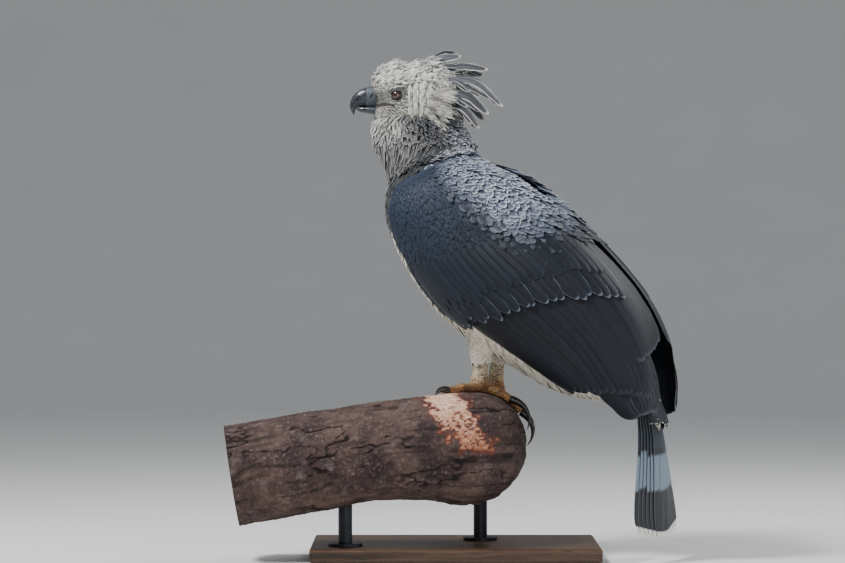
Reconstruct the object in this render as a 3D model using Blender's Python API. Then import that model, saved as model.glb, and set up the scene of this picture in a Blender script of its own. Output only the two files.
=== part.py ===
"""A life-size harpy eagle on a cut length of branch, held by a plain display stand.

The stand's long side lies along X, and its underside is at z = 0 with its centre at the origin. The
eagle looks along -X with its head turned a little to its left, so that the head lies along X while
the body is turned by BODY_TURN. Body shapes are worked out in the body's own frame, where x runs to
the tail, -y to the eagle's left and z up, and on_stand() sets them on the stand.
"""

import math

import bmesh
import bpy
import numpy as np
from mathutils import Vector
from mathutils.bvhtree import BVHTree

GAP = 0.0003

# Stand
BASE_LENGTH, BASE_WIDTH, BASE_THICKNESS = 0.50, 0.34, 0.024
BASE_BEVEL = 0.004
ROD_RADIUS = 0.012
FLANGE_RADIUS, FLANGE_THICKNESS = 0.030, 0.005
ROD_PLACES = {"stand_rod_1": (-0.19, -0.098), "stand_rod_2": (0.045, 0.04)}

# Perch: centre line and radius from the cut end at the front, round its bend, to the far end
PERCH_PATH = [
    (-0.385, -0.108, 0.146, 0.0870),
    (-0.270, -0.104, 0.164, 0.0885),
    (-0.150, -0.100, 0.184, 0.0865),
    (-0.048, -0.096, 0.195, 0.0890),
    (0.012, -0.072, 0.196, 0.0920),
    (0.034, -0.018, 0.195, 0.0910),
    (0.038, 0.060, 0.195, 0.0880),
    (0.037, 0.135, 0.193, 0.0865),
    (0.034, 0.205, 0.191, 0.0850),
]
PERCH_RINGS, PERCH_SIDES = 24, 18

# Outlines of feathers: places along the length, and the share of the full width at each
ROUND_TIP = {"at": (0.0, 0.45, 0.86, 1.0), "wide": (0.55, 1.0, 0.86, 0.30)}
LONG_TIP = {"at": (0.0, 0.40, 0.84, 1.0), "wide": (0.60, 1.0, 0.92, 0.28)}
TAIL_TIP_SHAPE = {"at": (0.0, 0.34, 0.93, 1.0), "wide": (0.35, 0.90, 0.90, 0.40)}
VANE = 0.0012

# Body
BODY_TURN = math.radians(24.0)
BODY_ORIGIN = (0.040, 0.050)
# Stations from the neck's root to the folded wings' tips: the point on the back and the point below,
# each as x and z in the body's frame, then half of the width over the folded wings
HULL = [
    ((-0.012, 0.706), (-0.154, 0.662), 0.082),
    ((0.024, 0.690), (-0.156, 0.584), 0.130),
    ((0.087, 0.659), (-0.112, 0.494), 0.140),
    ((0.162, 0.602), (-0.036, 0.408), 0.141),
    ((0.236, 0.534), (0.072, 0.354), 0.129),
    ((0.306, 0.454), (0.170, 0.302), 0.110),
    ((0.344, 0.380), (0.230, 0.262), 0.096),
    ((0.358, 0.308), (0.288, 0.240), 0.084),
    ((0.354, 0.256), (0.322, 0.230), 0.070),
]
# How far the torso lies inside that hull at its first stations: on the back, the sides and below
BACK_COVER = [0.002, 0.012, 0.014, 0.015, 0.016, 0.024, 0.040]
SIDE_COVER = [0.002, 0.022, 0.026, 0.026, 0.026, 0.030, 0.036]
BELLY_COVER = [0.000, 0.000, 0.000, 0.000, -0.010, -0.008, 0.026]
TORSO_RINGS, TORSO_SIDES = 12, 20
MANTLE_ROWS, MANTLE_STEP, MANTLE_HALF_WIDTH = 3, 0.035, 0.0255

# Wings: lowest and highest angle that each folded wing covers at each station of the hull
WING_LOW = [-20, -42, -56, -62, -60, -64, -66, -68, -70]
WING_HIGH = [40, 56, 72, 85, 88, 88, 88, 88, 88]
WING_START, WING_END = 0.45, 6.5
WING_RINGS, WING_SIDES = 9, 7
WING_DEPTH = [0.040, 0.040, 0.042, 0.042, 0.036, 0.016, 0.010, 0.006, 0.004]
WING_SEED = 3
# Tiers of vanes: count, first and last root, first and last tip, each as a station and an angle, half
# of the width, outline, and how far the vane stands off the hull at its tip
WING_ROWS = [
    ("primary", 3, ((4.8, 0), (4.8, 44)), ((7.7, -26), (7.95, 50)), 0.026, LONG_TIP, 0.0005),
    ("secondary", 5, ((3.7, -42), (4.0, 50)), ((5.4, -60), (7.3, 32)), 0.033, LONG_TIP, 0.0022),
    ("tertial", 2, ((3.7, 54), (3.7, 76)), ((6.5, 56), (6.1, 76)), 0.028, LONG_TIP, 0.0038),
    ("greater", 5, ((2.6, -46), (3.7, 64)), ((3.6, -52), (4.9, 62)), 0.035, ROUND_TIP, 0.0054),
    ("median", 4, ((1.8, -34), (2.7, 58)), ((2.8, -42), (3.9, 56)), 0.039, ROUND_TIP, 0.0056),
    ("scapular_a", 2, ((0.9, 24), (0.9, 46)), ((1.9, 24), (2.1, 54)), 0.032, ROUND_TIP, 0.0050),
    ("scapular_b", 2, ((1.8, 32), (1.9, 54)), ((2.8, 30), (3.1, 60)), 0.033, ROUND_TIP, 0.0072),
]
# How far below the hull the vanes' roots are sunk, and how far each vane leans over the next
ROOT_SINK, WING_TILT = -0.005, 0.10

# Head: its centre, then its outline from the bill's root to the nape as a point on top, a point
# below and half of the width, each measured from that centre along x and z
HEAD_CENTRE = (-0.0729, 0.100, 0.806)
HEAD = [
    ((-0.0760, 0.0200), (-0.0680, -0.0270), 0.0170),
    ((-0.0745, 0.0340), (-0.0670, -0.0420), 0.0270),
    ((-0.0590, 0.0540), (-0.0560, -0.0560), 0.0380),
    ((-0.0350, 0.0650), (-0.0340, -0.0640), 0.0460),
    ((-0.0160, 0.0600), (-0.0120, -0.0670), 0.0510),
    ((0.0080, 0.0650), (0.0100, -0.0680), 0.0560),
    ((0.0300, 0.0655), (0.0300, -0.0640), 0.0580),
    ((0.0500, 0.0560), (0.0480, -0.0520), 0.0540),
    ((0.0640, 0.0380), (0.0620, -0.0340), 0.0420),
    ((0.0700, 0.0160), (0.0690, -0.0120), 0.0220),
]
HEAD_SIDES = 16

EYE_RADIUS = 0.0125
EYE_PLACE = (-0.0282, 0.0362, 0.0033)
LID = 0.0022
EYE_OPENING = (0.0094, 0.0074)
BROW_PLACE = (-0.0300, 0.0440, 0.0150)
BROW_SIZE = (0.0170, 0.0075, 0.0042)
BROW_SLOPE = math.radians(14)

# Bill, from its root to the tip of the hook, in the head's frame like the head's outline
UPPER_BILL = [
    ((-0.0700, 0.0210), (-0.0700, -0.0154), 0.0158),
    ((-0.0835, 0.0192), (-0.0825, -0.0154), 0.0147),
    ((-0.0965, 0.0142), (-0.0937, -0.0150), 0.0124),
    ((-0.1070, 0.0050), (-0.0998, -0.0162), 0.0092),
    ((-0.1128, -0.0075), (-0.1028, -0.0205), 0.0060),
    ((-0.1126, -0.0190), (-0.1046, -0.0248), 0.0035),
    ((-0.1070, -0.0298), (-0.1058, -0.0303), 0.0006),
]
LOWER_BILL = [
    ((-0.0680, -0.0166), (-0.0690, -0.0285), 0.0128),
    ((-0.0830, -0.0166), (-0.0820, -0.0268), 0.0108),
    ((-0.0930, -0.0168), (-0.0915, -0.0236), 0.0076),
    ((-0.0975, -0.0182), (-0.0965, -0.0204), 0.0036),
]
NOSTRIL_PLACE = (-0.0740, 0.0146, 0.0025)
NOSTRIL_SIZE = (0.0014, 0.0040, 0.0036)
GAPE_END = (-0.0310, -0.0188)
GAPE_HEIGHT = 0.0016

# Crest: root, middle and tip of each feather of the left side, from the head's centre, with half of
# its width. The right side has the same feathers, turned a little.
CREST = [
    ((0.020, 0.010, 0.058), (0.052, 0.016, 0.071), (0.084, 0.020, 0.0735), 0.0090),
    ((0.036, 0.022, 0.052), (0.086, 0.030, 0.056), (0.132, 0.034, 0.0490), 0.0095),
    ((0.044, 0.034, 0.030), (0.104, 0.042, 0.029), (0.159, 0.046, -0.0175), 0.0095),
    ((0.046, 0.040, 0.010), (0.092, 0.048, 0.004), (0.133, 0.052, -0.0315), 0.0105),
    ((0.048, 0.036, -0.012), (0.088, 0.050, -0.018), (0.117, 0.050, -0.0560), 0.0125),
]

# Ruff round the back of the face: angle above the level, behind the cheek, and length
RUFF_FEATHERS = 4
RUFF_FIRST, RUFF_LAST = -72, 8
RUFF_SPREAD = 0.062
CREST_SHIFT = 0.006
RUFF_LENGTH, RUFF_HALF_WIDTH = 0.040, 0.0125

# Neck: back and front point and half of the width, upwards from the torso, in the stand's frame
NECK = [
    ((0.0320, 0.7200), (-0.1345, 0.7120), 0.0720),
    ((0.0260, 0.7320), (-0.1370, 0.7280), 0.0620),
    ((0.0200, 0.7450), (-0.1390, 0.7440), 0.0530),
    ((0.0060, 0.7640), (-0.1380, 0.7620), 0.0490),
    ((-0.0100, 0.7840), (-0.1250, 0.7800), 0.0400),
]
NECK_RINGS = 6
NECK_Y = 0.096
# Direction in which the neck keeps its gap to the torso's first ring
NECK_LIFT = (-0.49, 0, 1.32)

# Tail: 12 feathers from one root, hanging nearly straight down
TAIL_FEATHERS = 12
TAIL_ROOT, TAIL_KNEE, TAIL_TIP = (0.276, 0.385), (0.324, 0.285), (0.350, 0.0385)
TAIL_ROOT_STEP, TAIL_KNEE_STEP, TAIL_TIP_STEP = 0.0020, 0.0042, 0.0158
TAIL_LAYER = 0.0019
TAIL_HALF_WIDTH = 0.0280
TAIL_GRADE = 0.0024
# The coverts over its root: middle as x and z, then half of the depth and of the width
TAIL_COVERTS = [
    (0.262, 0.388, 0.026, 0.030),
    (0.300, 0.325, 0.026, 0.036),
    (0.320, 0.270, 0.019, 0.034),
    (0.331, 0.225, 0.006, 0.024),
]

# Legs, in the body's frame
LEG_X, LEG_Y = 0.019, 0.037
HEEL_Z = 0.354
TARSUS_RADIUS = 0.0140
TOE_RADIUS = 0.0105
ANKLE_RISE = 0.0160
TARSUS_END = 0.300
# Level sections of the right thigh from inside the belly to the heel: middle, then radii along x and y
THIGH = [
    ((0.056, 0.041, 0.440), (0.052, 0.026)),
    ((0.050, 0.042, 0.412), (0.048, 0.027)),
    ((0.040, 0.042, 0.388), (0.036, 0.026)),
    ((0.031, 0.040, 0.370), (0.025, 0.022)),
    ((0.0244, 0.037, HEEL_Z + GAP), (0.018, 0.018)),
]
# Front toes and hind toe: heading from straight ahead, length and claw length
TOES = {
    "inner": (math.radians(4), 0.070, 0.056),
    "middle": (math.radians(-12), 0.092, 0.050),
    "outer": (math.radians(-38), 0.070, 0.042),
    "hind": (math.radians(180), 0.058, 0.074),
}
CLAW_RADIUS = 0.0085

SLATE, PALE_GREY, WHITE = (0.035, 0.042, 0.055), (0.48, 0.48, 0.47), (0.70, 0.68, 0.62)
HORN, YELLOW, BARK = (0.03, 0.032, 0.036), (0.55, 0.38, 0.16), (0.14, 0.10, 0.08)
AMBER, DARK_WOOD, BLACK = (0.30, 0.10, 0.03), (0.06, 0.035, 0.022), (0.02, 0.02, 0.02)


def clear_scene():
    for obj in list(bpy.data.objects):
        bpy.data.objects.remove(obj, do_unlink=True)


def make_material(name, colour, roughness, metallic=0.0):
    material = bpy.data.materials.new(name)
    material.use_nodes = True
    shader = material.node_tree.nodes["Principled BSDF"]
    shader.inputs["Base Color"].default_value = (*colour, 1.0)
    shader.inputs["Roughness"].default_value = roughness
    shader.inputs["Metallic"].default_value = metallic
    return material


def smooth(stations, values, at):
    """Rows of values joined by a smooth curve, one row at each station, and read at each place in at."""
    x = np.asarray(stations, float)
    y = np.asarray(values, float)
    slope = np.gradient(y, x, axis=0)
    at = np.clip(np.asarray(at, float), x[0], x[-1])
    i = np.clip(np.searchsorted(x, at, side="right") - 1, 0, len(x) - 2)
    span = x[i + 1] - x[i]
    s = (at - x[i]) / span
    shape = s.shape + (1,) * (y.ndim - 1)
    s, span = s.reshape(shape), span.reshape(shape)
    start = (1 + 2 * s) * (1 - s) ** 2 * y[i] + s * (1 - s) ** 2 * span * slope[i]
    return start + s**2 * (3 - 2 * s) * y[i + 1] + s**2 * (s - 1) * span * slope[i + 1]


def on_stand(points):
    """Points of the body's frame, turned and set on the stand."""
    points = np.asarray(points, float)
    x, y, z = points[..., 0], points[..., 1], points[..., 2]
    cos, sin = math.cos(BODY_TURN), math.sin(BODY_TURN)
    return np.stack(
        [x * cos + y * sin + BODY_ORIGIN[0], -x * sin + y * cos + BODY_ORIGIN[1], z], axis=-1
    )


def from_head(points):
    return np.asarray(points, float) + np.array(HEAD_CENTRE)


def volume(points, triangles):
    a, b, c = (points[triangles[:, k]] for k in range(3))
    return np.einsum("ij,ij->i", a, np.cross(b, c)).sum() / 6


def add_mesh(name, points, faces, material=None):
    """A mesh object with its faces turned outwards, linked to the scene."""
    points = np.asarray(points, float).reshape(-1, 3)
    fans = np.array([(f[0], f[k], f[k + 1]) for f in faces for k in range(1, len(f) - 1)])
    if volume(points, fans) < 0:
        faces = [tuple(reversed(face)) for face in faces]
    mesh = bpy.data.meshes.new(name)
    mesh.from_pydata(points.tolist(), [], faces)
    mesh.update()
    obj = bpy.data.objects.new(name, mesh)
    bpy.context.scene.collection.objects.link(obj)
    if material:
        mesh.materials.append(material)
    return obj


def loft(name, rings, material=None):
    """A closed body through rings of equal count, with a flat face at each end."""
    rings = np.asarray(rings, float)
    count, sides = rings.shape[:2]
    faces = []
    for i in range(count - 1):
        for j in range(sides):
            k = (j + 1) % sides
            a, b, c, d = i * sides + j, i * sides + k, (i + 1) * sides + k, (i + 1) * sides + j
            faces += [(a, b, c), (a, c, d)]
    faces.append(tuple(range(sides))[::-1])
    faces.append(tuple((count - 1) * sides + j for j in range(sides)))
    return add_mesh(name, rings, faces, material)


def oval_rings(sections, sides, count, exponent=1.0, grow=0.0):
    """Rings through (top, bottom, half width) sections, made count in number by a smooth curve."""
    rows = np.array([(*top, *low, half) for top, low, half in sections])
    rows = smooth(np.arange(len(rows)), rows, np.linspace(0, len(rows) - 1, count))
    angle = np.linspace(0, 2 * np.pi, sides, endpoint=False)
    centre = (rows[:, 0:2] + rows[:, 2:4]) / 2
    up = (rows[:, 0:2] - rows[:, 2:4]) / 2
    length = np.linalg.norm(up, axis=1, keepdims=True)
    up = up * (1 + grow / length)
    for end, inner in ((0, 1), (-1, -2)):
        outward = centre[end] - centre[inner]
        centre[end] += grow * outward / np.linalg.norm(outward)
    cos, sin = np.cos(angle), np.sin(angle)
    across = np.sign(cos) * np.abs(cos) ** exponent
    x = centre[:, :1] + up[:, :1] * sin
    z = centre[:, 1:] + up[:, 1:] * sin
    y = (rows[:, 4:5] + grow) * across
    return np.stack([x, y, z], axis=-1)


def hull_rows(t):
    rows = np.array([(*top, *low, half) for top, low, half in HULL])
    return smooth(np.arange(len(HULL)), rows, t)


def hull_point(t, degrees, grow=0.0):
    """The folded wings' outer surface on the eagle's left, at a station and an angle above the side."""
    t, degrees, grow = np.broadcast_arrays(*(np.asarray(v, float) for v in (t, degrees, grow)))
    rows = hull_rows(t)
    centre = (rows[..., 0:2] + rows[..., 2:4]) / 2
    up = (rows[..., 0:2] - rows[..., 2:4]) / 2
    length = np.linalg.norm(up, axis=-1)
    angle = np.radians(degrees)
    boxy = np.interp(t, [3, 5], [0.75, 0.40])
    exponent = np.where(degrees < 0, boxy, 0.85)
    rise = np.sin(angle) * (1 + grow / length)
    side = (rows[..., 4] + grow) * np.abs(np.cos(angle)) ** exponent
    x = centre[..., 0] + up[..., 0] * rise
    z = centre[..., 1] + up[..., 1] * rise
    return np.stack([x, -side, z], axis=-1)


def torso_rings(grow=0.0, last=6.0, count=TORSO_RINGS):
    t = np.linspace(0, last, count)
    rows = hull_rows(t)
    cover = smooth(np.arange(7), np.array([BACK_COVER, SIDE_COVER, BELLY_COVER]).T, t)
    up = rows[:, 0:2] - rows[:, 2:4]
    up /= np.linalg.norm(up, axis=1, keepdims=True)
    top = rows[:, 0:2] - up * cover[:, 0:1]
    low = rows[:, 2:4] + up * cover[:, 2:3]
    half = rows[:, 4] - cover[:, 1]
    sections = [(a, b, h) for a, b, h in zip(top, low, half)]
    return oval_rings(sections, TORSO_SIDES, count, 0.9, grow)


def blade(name, centre, normal, half_width, thickness, shape, cup=0.0, tilt=0.0, grow=0.0):
    """A thin tapered vane along centre points, bent down to both edges by cup and turned by tilt.

    Its outline and its thickness are larger by grow on every side where it cuts the room for itself.
    """
    centre = np.array(centre, float)
    along = np.gradient(centre, axis=0)
    along /= np.linalg.norm(along, axis=1, keepdims=True)
    centre[0] -= 2 * grow * along[0]
    centre[-1] += 2 * grow * along[-1]
    normal = np.broadcast_to(np.asarray(normal, float), centre.shape)
    side = np.cross(along, normal)
    side /= np.linalg.norm(side, axis=1, keepdims=True)
    normal = np.cross(side, along)
    side, normal = (
        side * math.cos(tilt) + normal * math.sin(tilt),
        normal * math.cos(tilt) - side * math.sin(tilt),
    )
    wide = half_width * np.asarray(shape, float)[:, None] + grow
    thick = np.broadcast_to(np.asarray(thickness, float), len(centre))[:, None] + 3.2 * grow
    drop = normal * cup * wide**2 / half_width
    left = centre - side * wide - drop
    right = centre + side * wide - drop
    mid, edge = normal * thick / 2, normal * thick / 3.2
    upper = [left + edge, centre + mid, right + edge]
    rings = np.stack(upper + [right - edge, centre - mid, left - edge], axis=1)
    faces = []
    for i in range(len(centre) - 1):
        a, b = 6 * i, 6 * i + 6
        for j in (0, 1, 2, 5):
            k = (j + 1) % 6
            faces += [(a + j, a + k, b + k), (a + j, b + k, b + j)]
        for j in (3, 4):
            faces += [(a + j, a + j + 1, b + j), (a + j + 1, b + j + 1, b + j)]
    end = 6 * len(centre) - 6
    faces += [(5, 4, 1, 0), (4, 3, 2, 1)]
    faces += [(end, end + 1, end + 4, end + 5), (end + 1, end + 2, end + 3, end + 4)]
    return add_mesh(name, rings, faces)


def wing_feather(name, root, tip, half_width, outline, lift):
    """A vane on the left wing between two places of the hull, rising from lift[0] to lift[1]."""
    s = np.array(outline["at"])
    t = root[0] + (tip[0] - root[0]) * s
    degrees = root[1] + (tip[1] - root[1]) * s
    rise = np.where(s > 0, lift[1] * np.minimum(1.0, 0.5 + s), lift[0])
    centre = hull_point(t, degrees, rise)
    step = 0.02
    forward = hull_point(t + step, degrees, rise) - hull_point(t - step, degrees, rise)
    upward = hull_point(t, np.minimum(degrees + 2, 89), rise) - hull_point(t, degrees - 2, rise)
    normal = np.cross(forward, upward)
    normal *= np.sign(-normal[:, 1:2]) / np.linalg.norm(normal, axis=1, keepdims=True)
    return blade(name, centre, normal, half_width, VANE, outline["wide"], 0.12, WING_TILT)


def apply_modifiers(obj):
    graph = bpy.context.evaluated_depsgraph_get()
    mesh = bpy.data.meshes.new_from_object(obj.evaluated_get(graph))
    old = obj.data
    obj.modifiers.clear()
    obj.data = mesh
    bpy.data.meshes.remove(old)


def keep_largest(obj):
    """Drops every closed surface of the object but the one of the largest volume."""
    mesh = bmesh.new()
    mesh.from_mesh(obj.data)
    left, shells = set(mesh.verts), []
    while left:
        shell, edge = set(), [next(iter(left))]
        while edge:
            vert = edge.pop()
            if vert in shell:
                continue
            shell.add(vert)
            edge += [e.other_vert(vert) for e in vert.link_edges]
        left -= shell
        shells.append(shell)

    def size(shell):
        faces = {face for vert in shell for face in vert.link_faces}
        total = 0.0
        for face in faces:
            first, *rest = [v.co for v in face.verts]
            total += sum(first.dot(b.cross(c)) for b, c in zip(rest, rest[1:]))
        return total

    keep = max(shells, key=size)
    bmesh.ops.delete(mesh, geom=[v for v in mesh.verts if v not in keep], context="VERTS")
    bmesh.ops.triangulate(mesh, faces=mesh.faces)
    bmesh.ops.dissolve_degenerate(mesh, dist=1e-6, edges=mesh.edges)
    mesh.to_mesh(obj.data)
    mesh.free()


def combine(obj, others, operation):
    """One Boolean of the object with the others, applied, after which the others are removed."""
    group = bpy.data.collections.new(obj.name + "_pieces")
    bpy.context.scene.collection.children.link(group)
    for other in others:
        bpy.context.scene.collection.objects.unlink(other)
        group.objects.link(other)
        other.hide_render = True
        other.display_type = "WIRE"
    change = obj.modifiers.new(operation.title(), "BOOLEAN")
    change.operation = operation
    change.operand_type = "COLLECTION"
    change.collection = group
    change.solver = "EXACT"
    bpy.context.view_layer.update()
    apply_modifiers(obj)
    for other in others:
        bpy.data.objects.remove(other, do_unlink=True)
    bpy.data.collections.remove(group)
    keep_largest(obj)
    return obj


def fuse(obj, others):
    return combine(obj, others, "UNION")


def cut(obj, cutters):
    return combine(obj, cutters, "DIFFERENCE")


def flip_y(obj, name):
    """A copy of a body-frame object, mirrored to the eagle's right."""
    points = np.array([v.co for v in obj.data.vertices])
    points[:, 1] *= -1
    faces = [tuple(face.vertices) for face in obj.data.polygons]
    return add_mesh(name, points, faces, obj.data.materials[0])


def set_on_stand(obj):
    points = on_stand([v.co for v in obj.data.vertices])
    obj.data.vertices.foreach_set("co", points.astype(np.float32).ravel())
    obj.data.update()
    return obj


def shade(obj):
    """Smooth shading, but for the edges that are clearly folded."""
    obj.data.shade_smooth()
    obj.data.set_sharp_from_angle(angle=math.radians(40))


def ellipsoid(name, centre, size, slope=0.0, segments=16, rings=10):
    """An ellipsoid turned about y by slope."""
    angle = np.linspace(0, 2 * np.pi, segments, endpoint=False)
    height = np.linspace(0.06, np.pi - 0.06, rings)
    ring = np.stack(
        [
            np.sin(height)[:, None] * np.cos(angle),
            np.sin(height)[:, None] * np.sin(angle),
            np.cos(height)[:, None] * np.ones(segments),
        ],
        axis=-1,
    ) * np.array(size)
    x, z = ring[..., 0].copy(), ring[..., 2].copy()
    ring[..., 0] = x * math.cos(slope) + z * math.sin(slope)
    ring[..., 2] = z * math.cos(slope) - x * math.sin(slope)
    return loft(name, ring + np.array(centre))


def ball(name, centre, radius):
    return ellipsoid(name, centre, (radius, radius, radius), 0.0, 12, 7)


def mantle_feathers(grow=0.0):
    """Rows of vanes down the upper back, over the inner edges of the wings."""
    feathers = []
    for row in range(MANTLE_ROWS):
        columns = 2 if row % 2 else 3
        for column in range(columns):
            y = (column - (columns - 1) / 2) * MANTLE_STEP
            start = 0.35 + 0.70 * row
            centre, normal = mantle_path(start, start + 1.20, y)
            name, wide = f"mantle_{row}_{column}", ROUND_TIP["wide"]
            feathers.append(
                blade(name, centre, normal, MANTLE_HALF_WIDTH, 0.0018, wide, 0.1, grow=grow)
            )
    return feathers


def mantle_path(start, end, y):
    """Centre line and normal of a mantle feather, along the back between two stations at the distance y."""
    s = np.array(ROUND_TIP["at"])
    rows = hull_rows(start + (end - start) * s)
    up = rows[:, 0:2] - rows[:, 2:4]
    up /= np.linalg.norm(up, axis=1, keepdims=True)
    drop = y**2 / 0.20
    top = rows[:, 0:2] - up * (0.020 - 0.0205 * s[:, None] + drop)
    centre = np.stack([top[:, 0], np.full(len(s), y), top[:, 1]], axis=-1)
    normal = np.stack([up[:, 0], np.full(len(s), y * 8), up[:, 1]], axis=-1)
    return centre, normal


def make_torso(material):
    torso = loft("torso", torso_rings(), material)
    fuse(torso, mantle_feathers())
    return set_on_stand(torso)


def wing_core():
    """The folded left wing without its feathers: a curved slab from its upper to its lower edge."""
    t = np.linspace(WING_START, WING_END, WING_RINGS)
    stations = np.arange(len(HULL))
    low = smooth(stations, np.array(WING_LOW, float), t)
    high = smooth(stations, np.array(WING_HIGH, float), t)
    depth = smooth(stations, np.array(WING_DEPTH), t)
    across = np.linspace(0, 1, WING_SIDES)
    degrees = low[:, None] + (high - low)[:, None] * across
    edge = 1 - np.abs(2 * across - 1) ** 6
    outer = hull_point(t[:, None], degrees)
    inner = hull_point(t[:, None], degrees, -depth[:, None] * (0.35 + 0.65 * edge))
    return np.concatenate([outer, inner[:, ::-1]], axis=1)


def make_wing(material):
    """The left wing in the body's frame, its tiers of vanes varied a little in length and aim."""
    rng = np.random.default_rng(WING_SEED)
    wing = loft("wing_left", wing_core(), material)
    feathers = []
    for kind, count, roots, tips, half_width, outline, lift in WING_ROWS:
        for i in range(count):
            s = i / (count - 1)
            root = [a + (b - a) * s for a, b in zip(*roots)]
            tip = [a + (b - a) * s for a, b in zip(*tips)]
            tip[0] += rng.uniform(-0.04, 0.04)
            tip[1] += rng.uniform(-1.0, 1.0)
            rise = (ROOT_SINK, lift + 0.0004 * (i % 2))
            feathers.append(wing_feather(f"{kind}_{i}", root, tip, half_width, outline, rise))
    return fuse(wing, feathers)


def fit_wing(wing, side):
    """Cuts a wing clear of the other one along the back, of the torso and of the mantle's feathers."""
    low, high = (-GAP / 2, 1) if side < 0 else (-1, GAP / 2)
    half = add_box("other_side", (-1, low, -1), (1, high, 2))
    torso = loft("torso_room", torso_rings(GAP))
    cut(wing, [half, torso, *mantle_feathers(GAP)])
    return set_on_stand(wing)


def add_box(name, low, high, material=None):
    sides = list(zip(low, high))
    corners = [(x, y, z) for x in sides[0] for y in sides[1] for z in sides[2]]
    faces = [(0, 1, 3, 2), (4, 6, 7, 5), (0, 4, 5, 1), (2, 3, 7, 6), (0, 2, 6, 4), (1, 5, 7, 3)]
    return add_mesh(name, corners, faces, material)


def head_core(grow=0.0):
    return oval_rings(HEAD, HEAD_SIDES, 11, 0.9, grow)


def head_side(x, z, sign, out=0.0):
    """The point on the head's side at x and z from its centre, moved out by a distance."""
    stations = np.array([(top[0] + low[0]) / 2 for top, low, half in HEAD])
    rows = smooth(stations, np.array([(top[1], low[1], half) for top, low, half in HEAD]), [x])[0]
    middle, reach = (rows[0] + rows[1]) / 2, (rows[0] - rows[1]) / 2
    level = max(0.0, 1 - min(1.0, abs(z - middle) / reach) ** 2)
    return np.array([x, sign * (rows[2] * math.sqrt(level) ** 0.9 + out), z])


def crest_feathers():
    feathers = []
    for side in (-1, 1):
        for i, (root, middle, tip, half) in enumerate(CREST):
            points = np.array([root, middle, tip]) * (1, side, 1)
            if side > 0:
                points[1:, 2] += CREST_SHIFT * (1 - 2 * (i % 2))
                points[2, 0] -= CREST_SHIFT
            s = np.array(LONG_TIP["at"])
            path = smooth((0.0, 0.45, 1.0), points, s)
            normal = np.array([0.25, side * 0.80, 0.55])
            name, path = f"crest_{side}_{i}", from_head(path)
            feathers.append(blade(name, path, normal, half, 0.0016, LONG_TIP["wide"], 0.25))
    return feathers


def ruff_feathers(grow=0.0):
    """Vanes round the back and the underside of each cheek, which lie back and down over the neck."""
    feathers = []
    for side in (-1, 1):
        for i in range(RUFF_FEATHERS):
            angle = math.radians(RUFF_FIRST + (RUFF_LAST - RUFF_FIRST) * i / (RUFF_FEATHERS - 1))
            x, z = 0.006 + 0.050 * math.cos(angle), -0.004 + 0.052 * math.sin(angle)
            lie = angle * 0.55 - 0.35
            end = (x + RUFF_LENGTH * math.cos(lie), z + RUFF_LENGTH * math.sin(lie))
            root = head_side(x, z, side, -0.006)
            tip = np.array([end[0], side * RUFF_SPREAD, end[1]])
            middle = (root + tip) / 2 + np.array([0, side * 0.007, 0])
            path = smooth((0.0, 0.5, 1.0), np.array([root, middle, tip]), ROUND_TIP["at"])
            name, normal, wide = f"ruff_{side}_{i}", (0.1, side, 0.1), ROUND_TIP["wide"]
            path = from_head(path)
            feathers.append(blade(name, path, normal, RUFF_HALF_WIDTH, 0.0016, wide, 0.3, grow=grow))
    return feathers


def eye_centre(side):
    return from_head((EYE_PLACE[0], side * EYE_PLACE[1], EYE_PLACE[2]))


def make_head(material):
    head = loft("head", from_head(head_core()), material)
    added = []
    for side in (-1, 1):
        added.append(ball(f"lids_{side}", eye_centre(side), EYE_RADIUS + LID))
        brow = from_head((BROW_PLACE[0], side * BROW_PLACE[1], BROW_PLACE[2]))
        added.append(ellipsoid(f"brow_{side}", brow, BROW_SIZE, -BROW_SLOPE, 10, 6))
    fuse(head, added + crest_feathers() + ruff_feathers())
    cutters = [loft("bill_room", from_head(oval_rings(UPPER_BILL[:3], 14, 4, 0.9, 2 * GAP)))]
    cutters.append(loft("lower_room", from_head(oval_rings(LOWER_BILL[:2], 14, 3, 0.9, 2 * GAP))))
    for side in (-1, 1):
        place = eye_centre(side)
        cutters.append(ball(f"socket_{side}", place, EYE_RADIUS + GAP))
        window = place + np.array([0, side * EYE_RADIUS, 0])
        size = (EYE_OPENING[0], EYE_RADIUS * 0.8, EYE_OPENING[1])
        cutters.append(ellipsoid(f"opening_{side}", window, size, -BROW_SLOPE / 2, 10, 5))
    cutters.append(gape_cutter())
    cut(head, cutters)
    return head


def gape_cutter():
    """A thin wedge across the face that opens the line of the mouth from the bill's root to its corner."""
    front, back = UPPER_BILL[0][1][0] - 0.004, GAPE_END[0]
    level = UPPER_BILL[0][1][1] - GAPE_HEIGHT / 2
    points, half = [], 0.06
    for y in (-half, half):
        points += [
            (front, y, level + GAPE_HEIGHT / 2),
            (front, y, level - GAPE_HEIGHT / 2),
            (back, y, GAPE_END[1] - GAPE_HEIGHT / 4),
            (back, y, GAPE_END[1] + GAPE_HEIGHT / 4),
        ]
    faces = [(0, 1, 2, 3), (7, 6, 5, 4), (0, 4, 5, 1), (1, 5, 6, 2), (2, 6, 7, 3), (3, 7, 4, 0)]
    return add_mesh("gape", from_head(points), faces)


def make_bill(horn):
    upper = loft("bill_upper", from_head(oval_rings(UPPER_BILL, 12, 10, 0.9)), horn)
    slits = []
    for side in (-1, 1):
        place = from_head((NOSTRIL_PLACE[0], side * NOSTRIL_PLACE[1], NOSTRIL_PLACE[2]))
        slits.append(ellipsoid(f"nostril_{side}", place, NOSTRIL_SIZE, math.radians(-25), 10, 6))
    cut(upper, slits)
    loft("bill_lower", from_head(oval_rings(LOWER_BILL, 14, 6, 0.9)), horn)


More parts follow.
